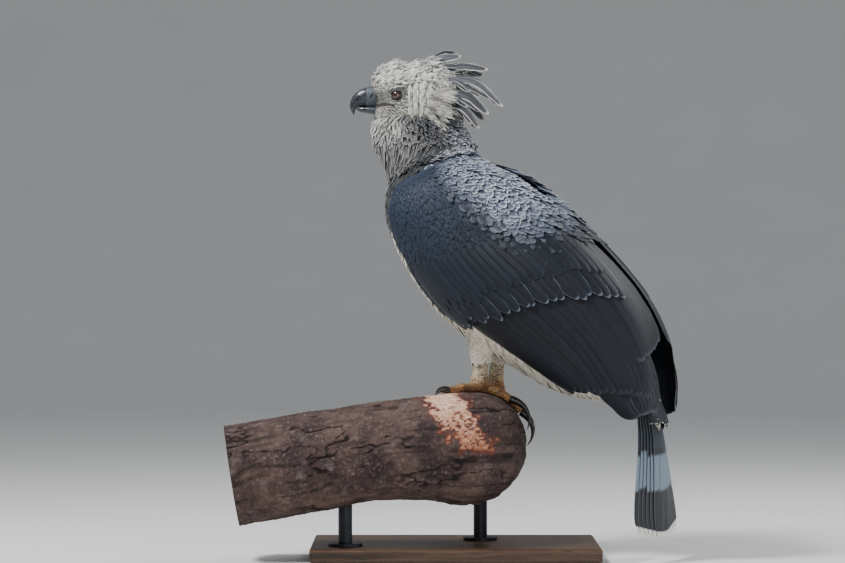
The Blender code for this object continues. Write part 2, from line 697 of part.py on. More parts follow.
def make_eye(side, material):
    name = "eye_left" if side < 0 else "eye_right"
    eye = ball(name, eye_centre(side), EYE_RADIUS)
    eye.data.materials.append(material)


def neck_rings():
    """The torso's first ring and the neck's own rings above it, in the stand's frame."""
    rings = oval_rings(NECK, TORSO_SIDES, NECK_RINGS)
    rings[..., 1] += NECK_Y
    return on_stand(torso_rings()[0]), rings


def make_neck(material):
    """From the torso's first ring, turned gradually to the head's line."""
    start, rings = neck_rings()
    lift = np.array(NECK_LIFT) * GAP
    neck = loft("neck", np.concatenate([[start + lift], rings]), material)
    head = loft("head_room", from_head(head_core(2 * GAP)))
    cut(neck, [head, *ruff_feathers(GAP)])
    return neck


def make_tail(material):
    """A covert core at the rump and the long feathers that hang from it, the middle pair on top."""
    sections = []
    for x, z, deep, wide in TAIL_COVERTS:
        slant = np.array([0.90, 0.44]) * deep
        sections.append(((x + slant[0], z + slant[1]), (x - slant[0], z - slant[1]), wide))
    tail = loft("tail", oval_rings(sections, 10, 5), material)
    feathers = []
    half = (TAIL_FEATHERS - 1) / 2
    s = np.array(TAIL_TIP_SHAPE["at"])
    for i in range(TAIL_FEATHERS):
        place = i - half
        order = abs(place) - 0.5
        layer = -TAIL_LAYER * (2 * order + (place > 0)) / 1.7
        path = np.array(
            [
                (TAIL_ROOT[0] + layer * 0.5, place * TAIL_ROOT_STEP, TAIL_ROOT[1]),
                (TAIL_KNEE[0] + layer, place * TAIL_KNEE_STEP, TAIL_KNEE[1]),
                (TAIL_TIP[0] + layer, place * TAIL_TIP_STEP, TAIL_TIP[1] + TAIL_GRADE * order),
            ]
        )
        centre = smooth((0.0, 0.30, 1.0), path, s)
        name, normal, wide = f"rectrix_{i}", (1.0, 0.0, 0.35), TAIL_TIP_SHAPE["wide"]
        feathers.append(blade(name, centre, normal, TAIL_HALF_WIDTH, VANE, wide, 0.03))
    fuse(tail, feathers)
    cut(tail, [loft("rump_room", torso_rings(GAP))])
    return set_on_stand(tail)


def leg_path(side, levels):
    """Centre of a leg at each height in the body's frame, leaning a little forwards as it goes down."""
    levels = np.asarray(levels, float)
    x = LEG_X + 0.10 * (levels - 0.30)
    return np.stack([x, np.full(len(levels), side * LEG_Y), levels], axis=-1)


def round_rings(centres, radii, sides=14):
    """Level rings round each centre, each with a radius along x and one along y."""
    angle = np.linspace(0, 2 * np.pi, sides, endpoint=False)
    radii = np.asarray(radii, float)
    centres = np.asarray(centres, float)
    x = centres[:, :1] + radii[:, :1] * np.cos(angle)
    y = centres[:, 1:2] + radii[:, 1:] * np.sin(angle)
    return np.stack([x, y, np.repeat(centres[:, 2:], sides, axis=1)], axis=-1)


def foot_place(side, tree):
    """The middle of the foot where its toes begin, on the perch under the leg."""
    under = on_stand(leg_path(side, [TARSUS_END])[0])
    point = lie_on(tree, under - np.array([0, 0, 0.02]), TOE_RADIUS + 0.0005)
    return np.array([under[0], under[1], point[2]])


def make_leg(side, tree, flesh, scales):
    word = "left" if side < 0 else "right"
    centres = np.array([place for place, size in THIGH]) * (1, side, 1)
    thigh = loft(f"thigh_{word}", round_rings(centres, [size for place, size in THIGH], 16), flesh)
    cut(thigh, [loft("belly_room", torso_rings(GAP))])
    ankle = foot_place(side, tree)[2] + ANKLE_RISE
    levels = np.array([HEEL_Z, 0.346, 0.332, ankle + 0.006, ankle])
    widths = np.array([(1.12, 1.15), (1.10, 1.10), (0.95, 0.92), (1.0, 1.0), (1.1, 1.1)]) * TARSUS_RADIUS
    tarsus = loft(f"tarsus_{word}", round_rings(leg_path(side, levels), widths, 14), scales)
    for obj in (thigh, tarsus):
        set_on_stand(obj)


def perch_rings(grow=0.0):
    """Rings across the perch's centre line, with the slow swellings of a real branch."""
    places = np.linspace(0, len(PERCH_PATH) - 1, PERCH_RINGS)
    rows = smooth(np.arange(len(PERCH_PATH)), PERCH_PATH, places)
    centre, radius = rows[:, :3], rows[:, 3]
    along = np.gradient(centre, axis=0)
    along /= np.linalg.norm(along, axis=1, keepdims=True)
    side = np.cross(along, (0, 0, 1))
    side /= np.linalg.norm(side, axis=1, keepdims=True)
    up = np.cross(side, along)
    angle = np.linspace(0, 2 * np.pi, PERCH_SIDES, endpoint=False)
    s = np.linspace(0, 1, PERCH_RINGS)[:, None]
    below = np.clip(-np.sin(angle), 0, 1)
    swell = 0.0022 * np.sin(2 * angle + 9 * s) + 0.0014 * np.sin(3 * angle - 14 * s)
    swell = swell * below + 0.010 * below * np.exp(-(((s - 0.52) / 0.16) ** 2))
    reach = (radius[:, None] + swell + grow)[..., None]
    cos, sin = np.cos(angle)[None, :, None], np.sin(angle)[None, :, None]
    return centre[:, None] + reach * (cos * side[:, None] + sin * up[:, None])


def tree_of(obj):
    points = [v.co.copy() for v in obj.data.vertices]
    return BVHTree.FromPolygons(points, [tuple(face.vertices) for face in obj.data.polygons])


def off_perch(tree, point):
    """The nearest point of the perch and the direction straight off it, towards the given point."""
    near, normal, _, _ = tree.find_nearest(Vector(point))
    off = Vector(point) - near
    outside = off.dot(normal) > 1e-5
    return np.array(near), np.array(off.normalized() if outside else normal)


def lie_on(tree, point, clearance):
    """The point, moved straight off the perch until it keeps the clearance to it."""
    near, off = off_perch(tree, point)
    return near + off * clearance


def wrap(tree, start, heading, lengths, clearances):
    """Points at the given lengths of a path from start that hugs the perch along a heading."""
    steps = 40
    step = lengths[-1] / steps
    point = np.array(start, float)
    travel = np.array([math.cos(heading), math.sin(heading), 0.0])
    path, reach = [point], [0.0]
    for i in range(steps):
        near, off = off_perch(tree, point)
        travel = travel - off * travel.dot(off)
        travel /= np.linalg.norm(travel)
        clearance = np.interp((i + 1) * step, lengths, clearances)
        point = lie_on(tree, point + travel * step, clearance)
        path.append(point)
        reach.append(reach[-1] + step)
    path = np.array(path)
    return np.stack([np.interp(lengths, reach, path[:, k]) for k in range(3)], axis=-1)


def tube(name, path, radii, flat, up_hint, material=None):
    """A closed body along a path with a radius at each point, pressed flat along the hint by a share."""
    path = np.asarray(path, float)
    along = np.gradient(path, axis=0)
    along /= np.linalg.norm(along, axis=1, keepdims=True)
    side = np.cross(along, np.asarray(up_hint, float))
    side /= np.linalg.norm(side, axis=1, keepdims=True)
    up = np.cross(side, along)
    angle = np.linspace(0, 2 * np.pi, 8, endpoint=False)
    radii = np.asarray(radii, float)[:, None, None]
    cos, sin = np.cos(angle)[None, :, None], flat * np.sin(angle)[None, :, None]
    return loft(name, path[:, None] + radii * (cos * side[:, None] + sin * up[:, None]), material)


def make_foot(side, tree, skin, horn):
    """The pad under the tarsus with its four toes along the perch, and a claw on each toe."""
    word = "left" if side < 0 else "right"
    pad_clear = TOE_RADIUS + 0.0005
    start = foot_place(side, tree)
    ankle = on_stand(leg_path(side, [start[2] + ANKLE_RISE])[0])
    top = ankle - np.array([0, 0, GAP])
    low = start - np.array([0, 0, TOE_RADIUS * 0.8])
    sizes = np.array([(1.10, 1.10), (1.22, 1.25), (1.30, 1.35), (1.05, 1.05)]) * TARSUS_RADIUS
    rings = round_rings([top, (top + start) / 2, start, low], sizes, 14)
    pad = loft(f"foot_{word}", rings, skin)
    toes, claws = [], []
    for kind, (turn, length, claw_length) in TOES.items():
        across = np.array([0.0, 0.011 * {"inner": 1, "outer": -1}.get(kind, 0) * -side, 0.0])
        begin = lie_on(tree, start + across, pad_clear)
        heading = math.pi + turn * side
        marks = np.array([0.0, 0.30, 0.55, 0.80, 1.0]) * length
        swell = np.array([1.05, 0.92, 1.0, 0.86, 0.92]) * TOE_RADIUS
        room = swell * 0.88 + GAP
        path = wrap(tree, begin, heading, np.append(marks, length + claw_length), np.append(room, 0.004))
        off = off_perch(tree, path[2])[1]
        toes.append(tube(f"toe_{kind}", path[:5], swell, 0.88, off))
        name, along = f"claw_{kind}_{word}", path[4] - path[3]
        claws.append(claw_on(tree, name, path[4], along, claw_length, horn))
    fuse(pad, toes)
    rooms = [perch_room()]
    for claw in claws:
        rooms.append(copy_grown(claw, GAP))
    cut(pad, rooms)


def claw_on(tree, name, root, along, length, material):
    """A curved claw from the end of a toe, which arches off the perch and comes back to it at its tip."""
    normal = off_perch(tree, root)[1]
    along = along - normal * along.dot(normal)
    along /= np.linalg.norm(along)
    bend = math.radians(115)
    radius = length / bend
    s = np.linspace(0, 1, 7)
    angle = bend * s
    out = math.radians(38)
    forward = along * math.cos(out) + normal * math.sin(out)
    inward = along * math.sin(out) - normal * math.cos(out)
    path = root + radius * (np.sin(angle)[:, None] * forward + (1 - np.cos(angle))[:, None] * inward)
    for i in range(len(path)):
        near, off = off_perch(tree, path[i])
        need = CLAW_RADIUS * (1 - 0.93 * s[i]) + 0.0008
        if (path[i] - near).dot(off) < need:
            path[i] = near + off * need
    radii = CLAW_RADIUS * (1 - 0.93 * s)
    return tube(name, path, radii, 1.0, normal, material)


def copy_grown(obj, grow):
    """A cutter with the object's shape, grown along its normals."""
    points = np.array([v.co for v in obj.data.vertices])
    normals = np.array([v.normal for v in obj.data.vertices])
    faces = [tuple(face.vertices) for face in obj.data.polygons]
    return add_mesh(obj.name + "_room", points + normals * 1.6 * grow, faces)


def perch_room():
    return loft("perch_room", perch_rings(GAP))


def make_stand(wood, metal):
    base = add_box(
        "stand_base",
        (-BASE_LENGTH / 2, -BASE_WIDTH / 2, 0),
        (BASE_LENGTH / 2, BASE_WIDTH / 2, BASE_THICKNESS),
        wood,
    )
    bevel = base.modifiers.new("edges", "BEVEL")
    bevel.width = BASE_BEVEL
    bevel.segments = 2
    apply_modifiers(base)
    for name, (x, y) in ROD_PLACES.items():
        foot = BASE_THICKNESS + GAP
        heights = [foot, foot + FLANGE_THICKNESS, foot + FLANGE_THICKNESS, 0.19]
        radii = [FLANGE_RADIUS, FLANGE_RADIUS, ROD_RADIUS, ROD_RADIUS]
        rings = round_rings([(x, y, h) for h in heights], [(r, r) for r in radii], 20)
        rod = loft(name, rings, metal)
        cut(rod, [perch_room()])


def main():
    clear_scene()
    slate = make_material("slate plumage", SLATE, 0.6)
    pale = make_material("pale plumage", PALE_GREY, 0.7)
    white = make_material("white plumage", WHITE, 0.7)
    horn = make_material("dark horn", HORN, 0.35)
    amber = make_material("amber eye", AMBER, 0.1)
    scales = make_material("yellow leg scales", YELLOW, 0.5)
    bark = make_material("branch bark", BARK, 0.9)
    dark_wood = make_material("dark stained wood", DARK_WOOD, 0.4)
    black = make_material("black painted steel", BLACK, 0.4)
    make_torso(white)
    wing = make_wing(slate)
    fit_wing(flip_y(wing, "wing_right"), 1)
    fit_wing(wing, -1)
    make_head(pale)
    make_bill(horn)
    for side in (-1, 1):
        make_eye(side, amber)
    make_neck(slate)
    make_tail(slate)
    tree = tree_of(loft("perch", perch_rings(), bark))
    for side in (-1, 1):
        make_leg(side, tree, white, scales)
        make_foot(side, tree, scales, horn)
    make_stand(dark_wood, black)
    for obj in bpy.context.scene.objects:
        shade(obj)


main()
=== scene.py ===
# Looks of a life-size harpy eagle model on a cut branch, held by a plain stand
import math
from functools import partial

import bmesh
import bpy
import numpy as np
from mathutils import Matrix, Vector


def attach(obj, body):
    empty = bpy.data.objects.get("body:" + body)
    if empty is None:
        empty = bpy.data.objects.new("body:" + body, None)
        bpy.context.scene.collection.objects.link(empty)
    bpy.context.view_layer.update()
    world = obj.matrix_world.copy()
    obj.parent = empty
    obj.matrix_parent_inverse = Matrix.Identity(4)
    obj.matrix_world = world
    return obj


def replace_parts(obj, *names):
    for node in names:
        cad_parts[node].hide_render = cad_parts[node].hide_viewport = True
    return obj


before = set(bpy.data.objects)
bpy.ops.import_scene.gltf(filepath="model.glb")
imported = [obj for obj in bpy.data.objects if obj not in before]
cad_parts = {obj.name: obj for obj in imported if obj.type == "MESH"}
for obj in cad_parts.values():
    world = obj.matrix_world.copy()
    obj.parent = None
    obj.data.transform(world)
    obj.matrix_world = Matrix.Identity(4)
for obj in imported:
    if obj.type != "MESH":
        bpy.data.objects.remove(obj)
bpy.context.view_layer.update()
random = np.random.default_rng(11)
bothSides = ((-1, "left"), (1, "right"))  # the eagle's left side faces the camera
print("frame loaded")


# sRGB hex to the linear values that shaders take
def srgb(hexCode):
    parts = np.array([int(hexCode[i : i + 2], 16) for i in (1, 3, 5)]) / 255
    linear = np.where(parts <= 0.04045, parts / 12.92, ((parts + 0.055) / 1.055) ** 2.4)
    return (*linear.tolist(), 1.0)


# the piece of length 1 along each vector
def unit(vectors):
    return vectors / np.maximum(np.linalg.norm(vectors, axis=-1, keepdims=True), 1e-12)


# angles all round, in radians
def fullTurn(count):
    return np.linspace(0, 2 * np.pi, count, endpoint=False)


# 0 below low, 1 above high, with a soft S between
def ramp(values, low, high):
    s = np.clip((values - low) / (high - low), 0, 1)
    return s * s * (3 - 2 * s)


# cubic from y0 to y1 for s from 0 to 1, with the slopes m0 and m1 over a span
def hermite(s, span, y0, m0, y1, m1):
    start = (1 + 2 * s) * (1 - s) ** 2 * y0 + s * (1 - s) ** 2 * span * m0
    return start + s**2 * (3 - 2 * s) * y1 + s**2 * (s - 1) * span * m1


# cubic curve through one row of values per station, with slopes from the neighbours
def smoothCurve(stations, values, at):
    x, y = np.asarray(stations, float), np.asarray(values, float)
    slope = np.gradient(y, x, axis=0)
    at = np.clip(np.asarray(at, float), x[0], x[-1])
    i = np.clip(np.searchsorted(x, at, side="right") - 1, 0, len(x) - 2)
    span = x[i + 1] - x[i]
    s = (at - x[i]) / span
    shape = s.shape + (1,) * (y.ndim - 1)
    return hermite(s.reshape(shape), span.reshape(shape), y[i], slope[i], y[i + 1], slope[i + 1])


# curve through the rows of a table, at its row numbers
def tableCurve(table, at):
    return smoothCurve(np.arange(len(table)), table, at)


# one number for each lattice cell and seed, as a start for a chain of random-like numbers
def cellNumber(cell, seed):
    return cell @ np.array([73856093, 19349663, 83492791]) + seed * 2654435


# the next number: xor with itself shifted, times a large odd number, cut to 31 bits
def scrambled(n):
    return (n ^ (n >> 13)) * 1274126177 & 0x7FFFFFFF


# value noise from -1 to 1: a random number at each corner of a lattice, blended between the corners
def softNoise(points, size, seed):
    places = np.asarray(points, float) / size
    cell = np.floor(places).astype(np.int64)
    s = places - cell
    s = s * s * (3 - 2 * s)
    total = 0
    for corner in np.ndindex(2, 2, 2):
        n = scrambled(cellNumber(cell + corner, seed))
        value = ((n ^ (n >> 16)) & 0xFFFF) / 32767.5 - 1
        total = total + value * np.prod(np.where(corner, s, 1 - s), axis=-1)
    return total


# distance to the nearest and the second nearest of one jittered point per lattice cell
def cellNoise(points, size, seed):
    places = np.asarray(points, float) / size
    cell = np.floor(places).astype(np.int64)
    best = np.full(places.shape[:-1], 9.0)
    second = best.copy()
    for corner in np.ndindex(3, 3, 3):
        near = cell + np.array(corner) - 1
        first = scrambled(cellNumber(near, seed))
        chain = (first, scrambled(first), scrambled(scrambled(first)))
        jitter = [(n & 0xFFFF) / 65535.0 for n in chain]
        gap = np.linalg.norm(near + np.stack(jitter, -1) - places, axis=-1)
        second = np.minimum(second, np.maximum(gap, best))
        best = np.minimum(best, gap)
    return best, second


# Shapes that the solids have too: the body's frame, turned on the stand, and its surfaces
bodyPose = {"turn": math.radians(24), "x": 0.04, "y": 0.05}
# stations from the neck to the wing tips: back x and z, belly x and z, half of the width
hullTable = np.array([
    (-0.012, 0.706, -0.154, 0.662, 0.082),
    (0.024, 0.69, -0.156, 0.584, 0.13),
    (0.087, 0.659, -0.112, 0.494, 0.14),
    (0.162, 0.602, -0.036, 0.408, 0.141),
    (0.236, 0.534, 0.072, 0.354, 0.129),
    (0.306, 0.454, 0.17, 0.302, 0.11),
    (0.344, 0.38, 0.23, 0.262, 0.096),
    (0.358, 0.308, 0.288, 0.24, 0.084),
    (0.354, 0.256, 0.322, 0.23, 0.07),
])
# how far the torso lies inside the hull at its first stations: back, sides, belly
coverTable = np.array([
    (0.002, 0.002, 0.0),
    (0.012, 0.022, 0.0),
    (0.014, 0.026, 0.0),
    (0.015, 0.026, 0.0),
    (0.016, 0.026, -0.01),
    (0.024, 0.03, -0.008),
    (0.04, 0.036, 0.026),
])
headCentre = np.array([-0.0729, 0.1, 0.806])
# sections of the head from the bill to the nape: top x and z, bottom x and z, half of the width
headTable = np.array([
    (-0.076, 0.02, -0.068, -0.027, 0.017),
    (-0.0745, 0.034, -0.067, -0.042, 0.027),
    (-0.059, 0.054, -0.056, -0.056, 0.038),
    (-0.035, 0.065, -0.034, -0.064, 0.046),
    (-0.016, 0.06, -0.012, -0.067, 0.051),
    (0.008, 0.065, 0.01, -0.068, 0.056),
    (0.03, 0.0655, 0.03, -0.064, 0.058),
    (0.05, 0.056, 0.048, -0.052, 0.054),
    (0.064, 0.038, 0.062, -0.034, 0.042),
    (0.07, 0.016, 0.069, -0.012, 0.022),
])
# sections of the neck above the torso, in the stand's frame: back x and z, front x and z, half width
neckTable = np.array([
    (0.032, 0.72, -0.1345, 0.712, 0.072),
    (0.026, 0.732, -0.137, 0.728, 0.062),
    (0.02, 0.745, -0.139, 0.744, 0.053),
    (0.006, 0.764, -0.138, 0.762, 0.049),
    (-0.01, 0.784, -0.125, 0.78, 0.04),
])
neckMiddle = 0.096
# level sections of the right thigh: middle x, y and z, then radii along x and y
thighTable = np.array([
    (0.056, 0.041, 0.44, 0.052, 0.026),
    (0.05, 0.042, 0.412, 0.048, 0.027),
    (0.04, 0.042, 0.388, 0.036, 0.026),
    (0.031, 0.04, 0.37, 0.025, 0.022),
    (0.0244, 0.037, 0.354, 0.018, 0.018),
    (0.0232, 0.037, 0.342, 0.0162, 0.0162),
    (0.022, 0.037, 0.328, 0.0148, 0.0148),
])


# values as floats of one shape
def together(*values):
    return np.broadcast_arrays(*(value * 1.0 for value in values))


# body frame to stand: a turn about z, then a shift
def onStand(points):
    x, y, z = points[..., 0], points[..., 1], points[..., 2]
    cos, sin = math.cos(bodyPose["turn"]), math.sin(bodyPose["turn"])
    return np.stack([x * cos + y * sin + bodyPose["x"], -x * sin + y * cos + bodyPose["y"], z], -1)


# superellipse section: centre + up * sin(angle), and half * |cos(angle)| ^ power to the side
def section(row, degrees, out, power):
    angle = np.radians(degrees)
    centre, up = (row[..., 0:2] + row[..., 2:4]) / 2, (row[..., 0:2] - row[..., 2:4]) / 2
    rise = np.sin(angle) * (1 + out / np.linalg.norm(up, axis=-1))
    cos = np.cos(angle)
    side = (row[..., 4] + out) * np.sign(cos) * np.abs(cos) ** power
    return np.stack([centre[..., 0] + up[..., 0] * rise, side, centre[..., 1] + up[..., 1] * rise], -1)


# outer surface of a folded wing; side -1 is the eagle's left, t runs over the hull's stations
def wingPoint(t, degrees, out, side=-1):
    t, degrees, out = together(t, degrees, out)
    row = tableCurve(hullTable, t)
    boxy = np.interp(t, [3, 5], [0.75, 0.4])
    point = section(row, degrees, out, np.where(degrees < 0, boxy, 0.85))
    point[..., 1] *= side
    return onStand(point)


# torso under the wings, all the way round: 0 degrees on the eagle's right, 90 on its back
def torsoPoint(t, degrees, out):
    t, degrees, out = together(t, degrees, out)
    row = tableCurve(hullTable, t).copy()
    cover = tableCurve(coverTable, t)
    up = unit(row[..., 0:2] - row[..., 2:4])
    row[..., 0:2] -= up * cover[..., 0:1]
    row[..., 2:4] += up * cover[..., 2:3]
    row[..., 4] -= cover[..., 1]
    return onStand(section(row, degrees, out, 0.9))


# neck: v = 0 on the torso's first ring, 5 inside the head
def neckPoint(v, degrees, out):
    v, degrees, out = together(v, degrees, out)
    rings = [torsoPoint(np.zeros(v.shape), degrees, out)]
    for row in neckTable:
        ring = section(np.broadcast_to(row, v.shape + (5,)), degrees, out, 1.0)
        ring[..., 1] += neckMiddle
        rings.append(ring)
    rings = np.stack(rings)
    slope = np.gradient(rings, axis=0)
    i = np.clip(np.floor(v).astype(int), 0, 4)
    pick = lambda table, at: np.take_along_axis(table, at[None, ..., None], 0)[0]
    ends = (pick(table, at) for at in (i, i + 1) for table in (rings, slope))
    return hermite((np.clip(v, 0, 5) - i)[..., None], 1, *ends)


# head: u = 0 at the bill's root, 9 at the nape
def headPoint(u, degrees, out):
    u, degrees, out = together(u, degrees, out)
    row = tableCurve(headTable, u)
    return section(row, degrees, out, 0.9) + headCentre


# neck and torso as one surface: w above 0 is the neck's station, below 0 it runs down the torso
def trunkPoint(w, degrees, out):
    w, degrees, out = together(w, degrees, out)
    above = neckPoint(np.maximum(w, 0), degrees, out)
    return np.where((w >= 0)[..., None], above, torsoPoint(np.maximum(-w, 0) * 0.36, degrees, out))


# thigh: v = 0 inside the belly, 4 at the heel, 6 down the tarsus where its last feathers end
def thighPoint(v, degrees, out, side=1):
    v, degrees, out = together(v, degrees, out)
    row = tableCurve(thighTable, v)
    angle = np.radians(degrees)
    x = row[..., 0] + (row[..., 3] + out) * np.cos(angle)
    y = row[..., 1] + (row[..., 4] + out) * np.sin(angle)
    return onStand(np.stack([x, y * side, row[..., 2]], -1))


# point and outward normal of a surface, the normal from small steps along both parameters
def surfaceFrame(surface, u, v, out):
    here = surface(u, v, out)
    alongU = surface(u + 0.01, v, out) - surface(u - 0.01, v, out)
    alongV = surface(u, v + 0.6, out) - surface(u, v - 0.6, out)
    normal = unit(np.cross(alongU, alongV))
    outward = surface(u, v, out + 0.002) - here
    return here, normal * np.sign(np.sum(normal * outward, axis=-1, keepdims=True))


# stations along a feather, closer towards its tip
def tipStations(rows):
    return np.sin(np.linspace(0, np.pi / 2, rows)) ** 1.15


# share of the full width: narrow quill, full from 'full' on, and a tip that rounds off after 'shoulder'
def roundOutline(s, root, full, shoulder, power):
    rounding = np.clip((s - shoulder) / (1 - shoulder), 0, 1)
    return (root + (1 - root) * ramp(s, 0, full)) * np.maximum(1 - rounding**power, 0.0) ** 0.5 + 0.02


# each feather starts at (u, v) on a surface and runs along it towards (headU, headV) for its length
def surfacePaths(surface, u, v, headU, headV, length, stations, rise):
    step = 1e-3
    base = surface(u, v, np.zeros(u.shape))
    ahead = surface(u + headU * step, v + headV * step, np.zeros(u.shape))
    speed = np.linalg.norm(ahead - base, axis=-1) / step
    reach = (length / np.maximum(speed, 1e-6))[:, None] * stations
    uu, vv = u[:, None] + headU[:, None] * reach, v[:, None] + headV[:, None] * reach
    return surfaceFrame(surface, uu, vv, np.broadcast_to(rise, uu.shape))


# each feather leaves its root along a direction, rises by 'lift' of its length and bends down by 'droop'
def straightPaths(root, normal, direction, length, stations, sink, lift, droop):
    along = unit(direction - normal * np.sum(direction * normal, -1, keepdims=True))
    s = np.asarray(stations)[None, :, None]
    size = length[:, None, None]
    lift, droop = (np.asarray(value).reshape(-1, 1, 1) for value in (lift, droop))
    up = -sink + size * (lift * s - droop * s**2)
    centre = root[:, None] + along[:, None] * size * s + normal[:, None] * up
    return centre, np.broadcast_to(normal[:, None], centre.shape)


# directions across paths that run along an axis: to the side, at right angles to the hint, and up
def sideAndUp(paths, axis, hint):
    along = unit(np.gradient(paths, axis=axis))
    side = unit(np.cross(along, hint))
    return side, np.cross(side, along)


# length of each path from step to step
def pathLength(paths):
    return np.linalg.norm(np.diff(paths, axis=1), axis=-1).sum(1)


# Closed vanes: at each station a lens across the feather, thick / 2 * (1 - 0.8 a^2) above and below
# a line that drops by cup * width * a^2 towards both edges, for a from -1 to 1 across. 'outline' has the
# numbers of roundOutline, 'ragged' how deep the edges' notches are.
def vanes(paths, half, stations, outline, thick=0.0004, cup=0.15, lean=0.0, across=3, ragged=0.0):
    centre, normal = paths
    count, rows = centre.shape[:2]
    side, up = sideAndUp(centre, 1, normal)
    lean = np.broadcast_to(np.asarray(lean, float).reshape(-1, 1, 1), (count, 1, 1))
    side, up = side * np.cos(lean) + up * np.sin(lean), up * np.cos(lean) - side * np.sin(lean)
    a = np.linspace(-1, 1, across)
    shape = roundOutline(stations, *outline)
    width = np.broadcast_to(np.asarray(half, float).reshape(-1, 1) * shape, (count, rows))
    notch = 1 - ragged * random.random((count, rows, 2)) ** 4
    share = np.where(a[None, None, :] < 0, notch[..., :1], notch[..., 1:])
    reach = width[..., None] * a * np.where(np.abs(a) > 0.9, share, 1)
    drop = cup * width[..., None] * a**2
    body = thick / 2 * (1 - 0.8 * a**2) * np.ones((count, rows, 1))
    place = centre[:, :, None] + side[:, :, None] * reach[..., None]
    top = place + up[:, :, None] * (body - drop)[..., None]
    low = (place - up[:, :, None] * (body + drop)[..., None])[:, :, -2:0:-1]
    ring = np.concatenate([top, low], axis=2)
    sides = ring.shape[2]
    faces = gridFaces(rows, sides)
    aRing = np.concatenate([a, a[-2:0:-1]])
    uv = np.stack(np.broadcast_arrays(aRing[None] / 2 + 0.5, np.asarray(stations)[:, None]), -1)
    return {"points": ring, "faces": faces, "uv": uv}


# whether a closed mesh has its faces turned in, by the sign of its volume seen from one of its corners
def turnedIn(points, faces):
    a, b, c = (points[faces[:, k]] - points[faces[0, 0]] for k in range(3))
    return np.einsum("ij,ij->i", a, np.cross(b, c)).sum() < 0


# a closed mesh's faces, turned over if they face in
def outwards(points, faces):
    return faces[:, ::-1] if turnedIn(points, faces) else faces


# Many vanes as one mesh: their colours and facts go in attributes, each vane's patch of the bake in OFBake
def joinVanes(name, parts, material, slotName):
    columns, start = [], 0
    for part in parts:
        count, rows, sides = part["points"].shape[:3]
        each = rows * sides
        shift = start + np.arange(count)[:, None, None] * each
        start += count * each
        spread = np.broadcast_to(part["uv"][None], (count, rows, sides, 2))
        bake = part["root"][:, None, None] + (spread - 0.5) * part["patch"]
        columns.append((
            part["points"].reshape(-1, 3), (part["faces"][None] + shift).reshape(-1, 3),
            spread.reshape(-1, 2), bake.reshape(-1, 2),
            np.repeat(part["tint"], each, axis=0), np.repeat(part["detail"], each, axis=0)))
    points, faces, uv, bake, tint, detail = map(np.concatenate, zip(*columns))
    if turnedIn(points, faces[: len(parts[0]["faces"])]):
        faces = faces[:, ::-1]
    obj = meshPiece(name, points, faces, material, slotName)
    for label, values in (("vane", uv), ("OFBake", np.clip(bake, 0.001, 0.999))):
        layer = obj.data.uv_layers.new(name=label)
        layer.data.foreach_set("uv", values[faces].astype(np.float32).ravel())
    addAttribute(obj, "tint", tint)
    addAttribute(obj, "detail", detail)
    obj.data.set_sharp_from_angle(angle=math.radians(62))
    print(name, len(faces), "triangles")
    return obj


# a mesh object from arrays of triangles, riding on the one body
def meshPiece(name, points, faces, material, slotName):
    mesh = bpy.data.meshes.new(name)
    mesh.vertices.add(len(points))
    mesh.vertices.foreach_set("co", np.asarray(points, np.float32).ravel())
    mesh.loops.add(faces.size)
    mesh.loops.foreach_set("vertex_index", np.asarray(faces, np.int32).ravel())
    mesh.polygons.add(len(faces))
    mesh.polygons.foreach_set("loop_start", np.arange(len(faces), dtype=np.int32) * 3)
    mesh.update(calc_edges=True)
    mesh.validate()
    mesh.shade_smooth()
    mesh.materials.append(material)
    obj = bpy.data.objects.new(name, mesh)
    bpy.context.scene.collection.objects.link(obj)
    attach(obj, "root")
    return obj


# Triangles of a grid of rings by sides that closes round its sides: a tube has a fan over each end, a
# bead closes along its rings as well
def gridFaces(rows, sides, bead=False):
    i, j = np.meshgrid(np.arange(rows if bead else rows - 1), np.arange(sides), indexing="ij")
    n, k = (i + 1) % rows, (j + 1) % sides
    p, q, r, s = i * sides + j, i * sides + k, n * sides + k, n * sides + j
    faces = np.concatenate([np.stack([p, q, r], -1).reshape(-1, 3), np.stack([p, r, s], -1).reshape(-1, 3)])
    if bead:
        return faces
    fan = np.stack([np.zeros(sides - 2, int), np.arange(1, sides - 1), np.arange(2, sides)], -1)
    return np.concatenate([faces, fan[:, ::-1], fan + (rows - 1) * sides])


# points and outward faces of a closed tube of rings
def shellOf(rings):
    points = np.asarray(rings, float).reshape(-1, 3)
    return points, outwards(points, gridFaces(*rings.shape[:2]))


# a closed tube of rings as a piece
def tubePiece(name, rings, material, slotName):
    return meshPiece(name, *shellOf(rings), material, slotName)


# rings round a path: radius along the side and along the up vector of each point
def pathRings(path, wide, tall, sides, hint):
    side, up = sideAndUp(path, 0, hint)
    angle = fullTurn(sides)
    wide = np.asarray(wide, float).reshape(-1, 1) * np.cos(angle)
    tall = np.asarray(tall, float).reshape(-1, 1) * np.sin(angle)
    return path[:, None] + side[:, None] * wide[..., None] + up[:, None] * tall[..., None]


# values on a piece's points: one number each, or the four of a colour
def addAttribute(obj, name, values):
    values = np.asarray(values, np.float32)
    kind, key = ("FLOAT_COLOR", "color") if values.ndim == 2 else ("FLOAT", "value")
    obj.data.attributes.new(name, kind, "POINT").data.foreach_set(key, values.ravel())


usualOutput = {"Mix": 2, "TexCoord": 3}  # the mixed colour, and the place in the body's own frame


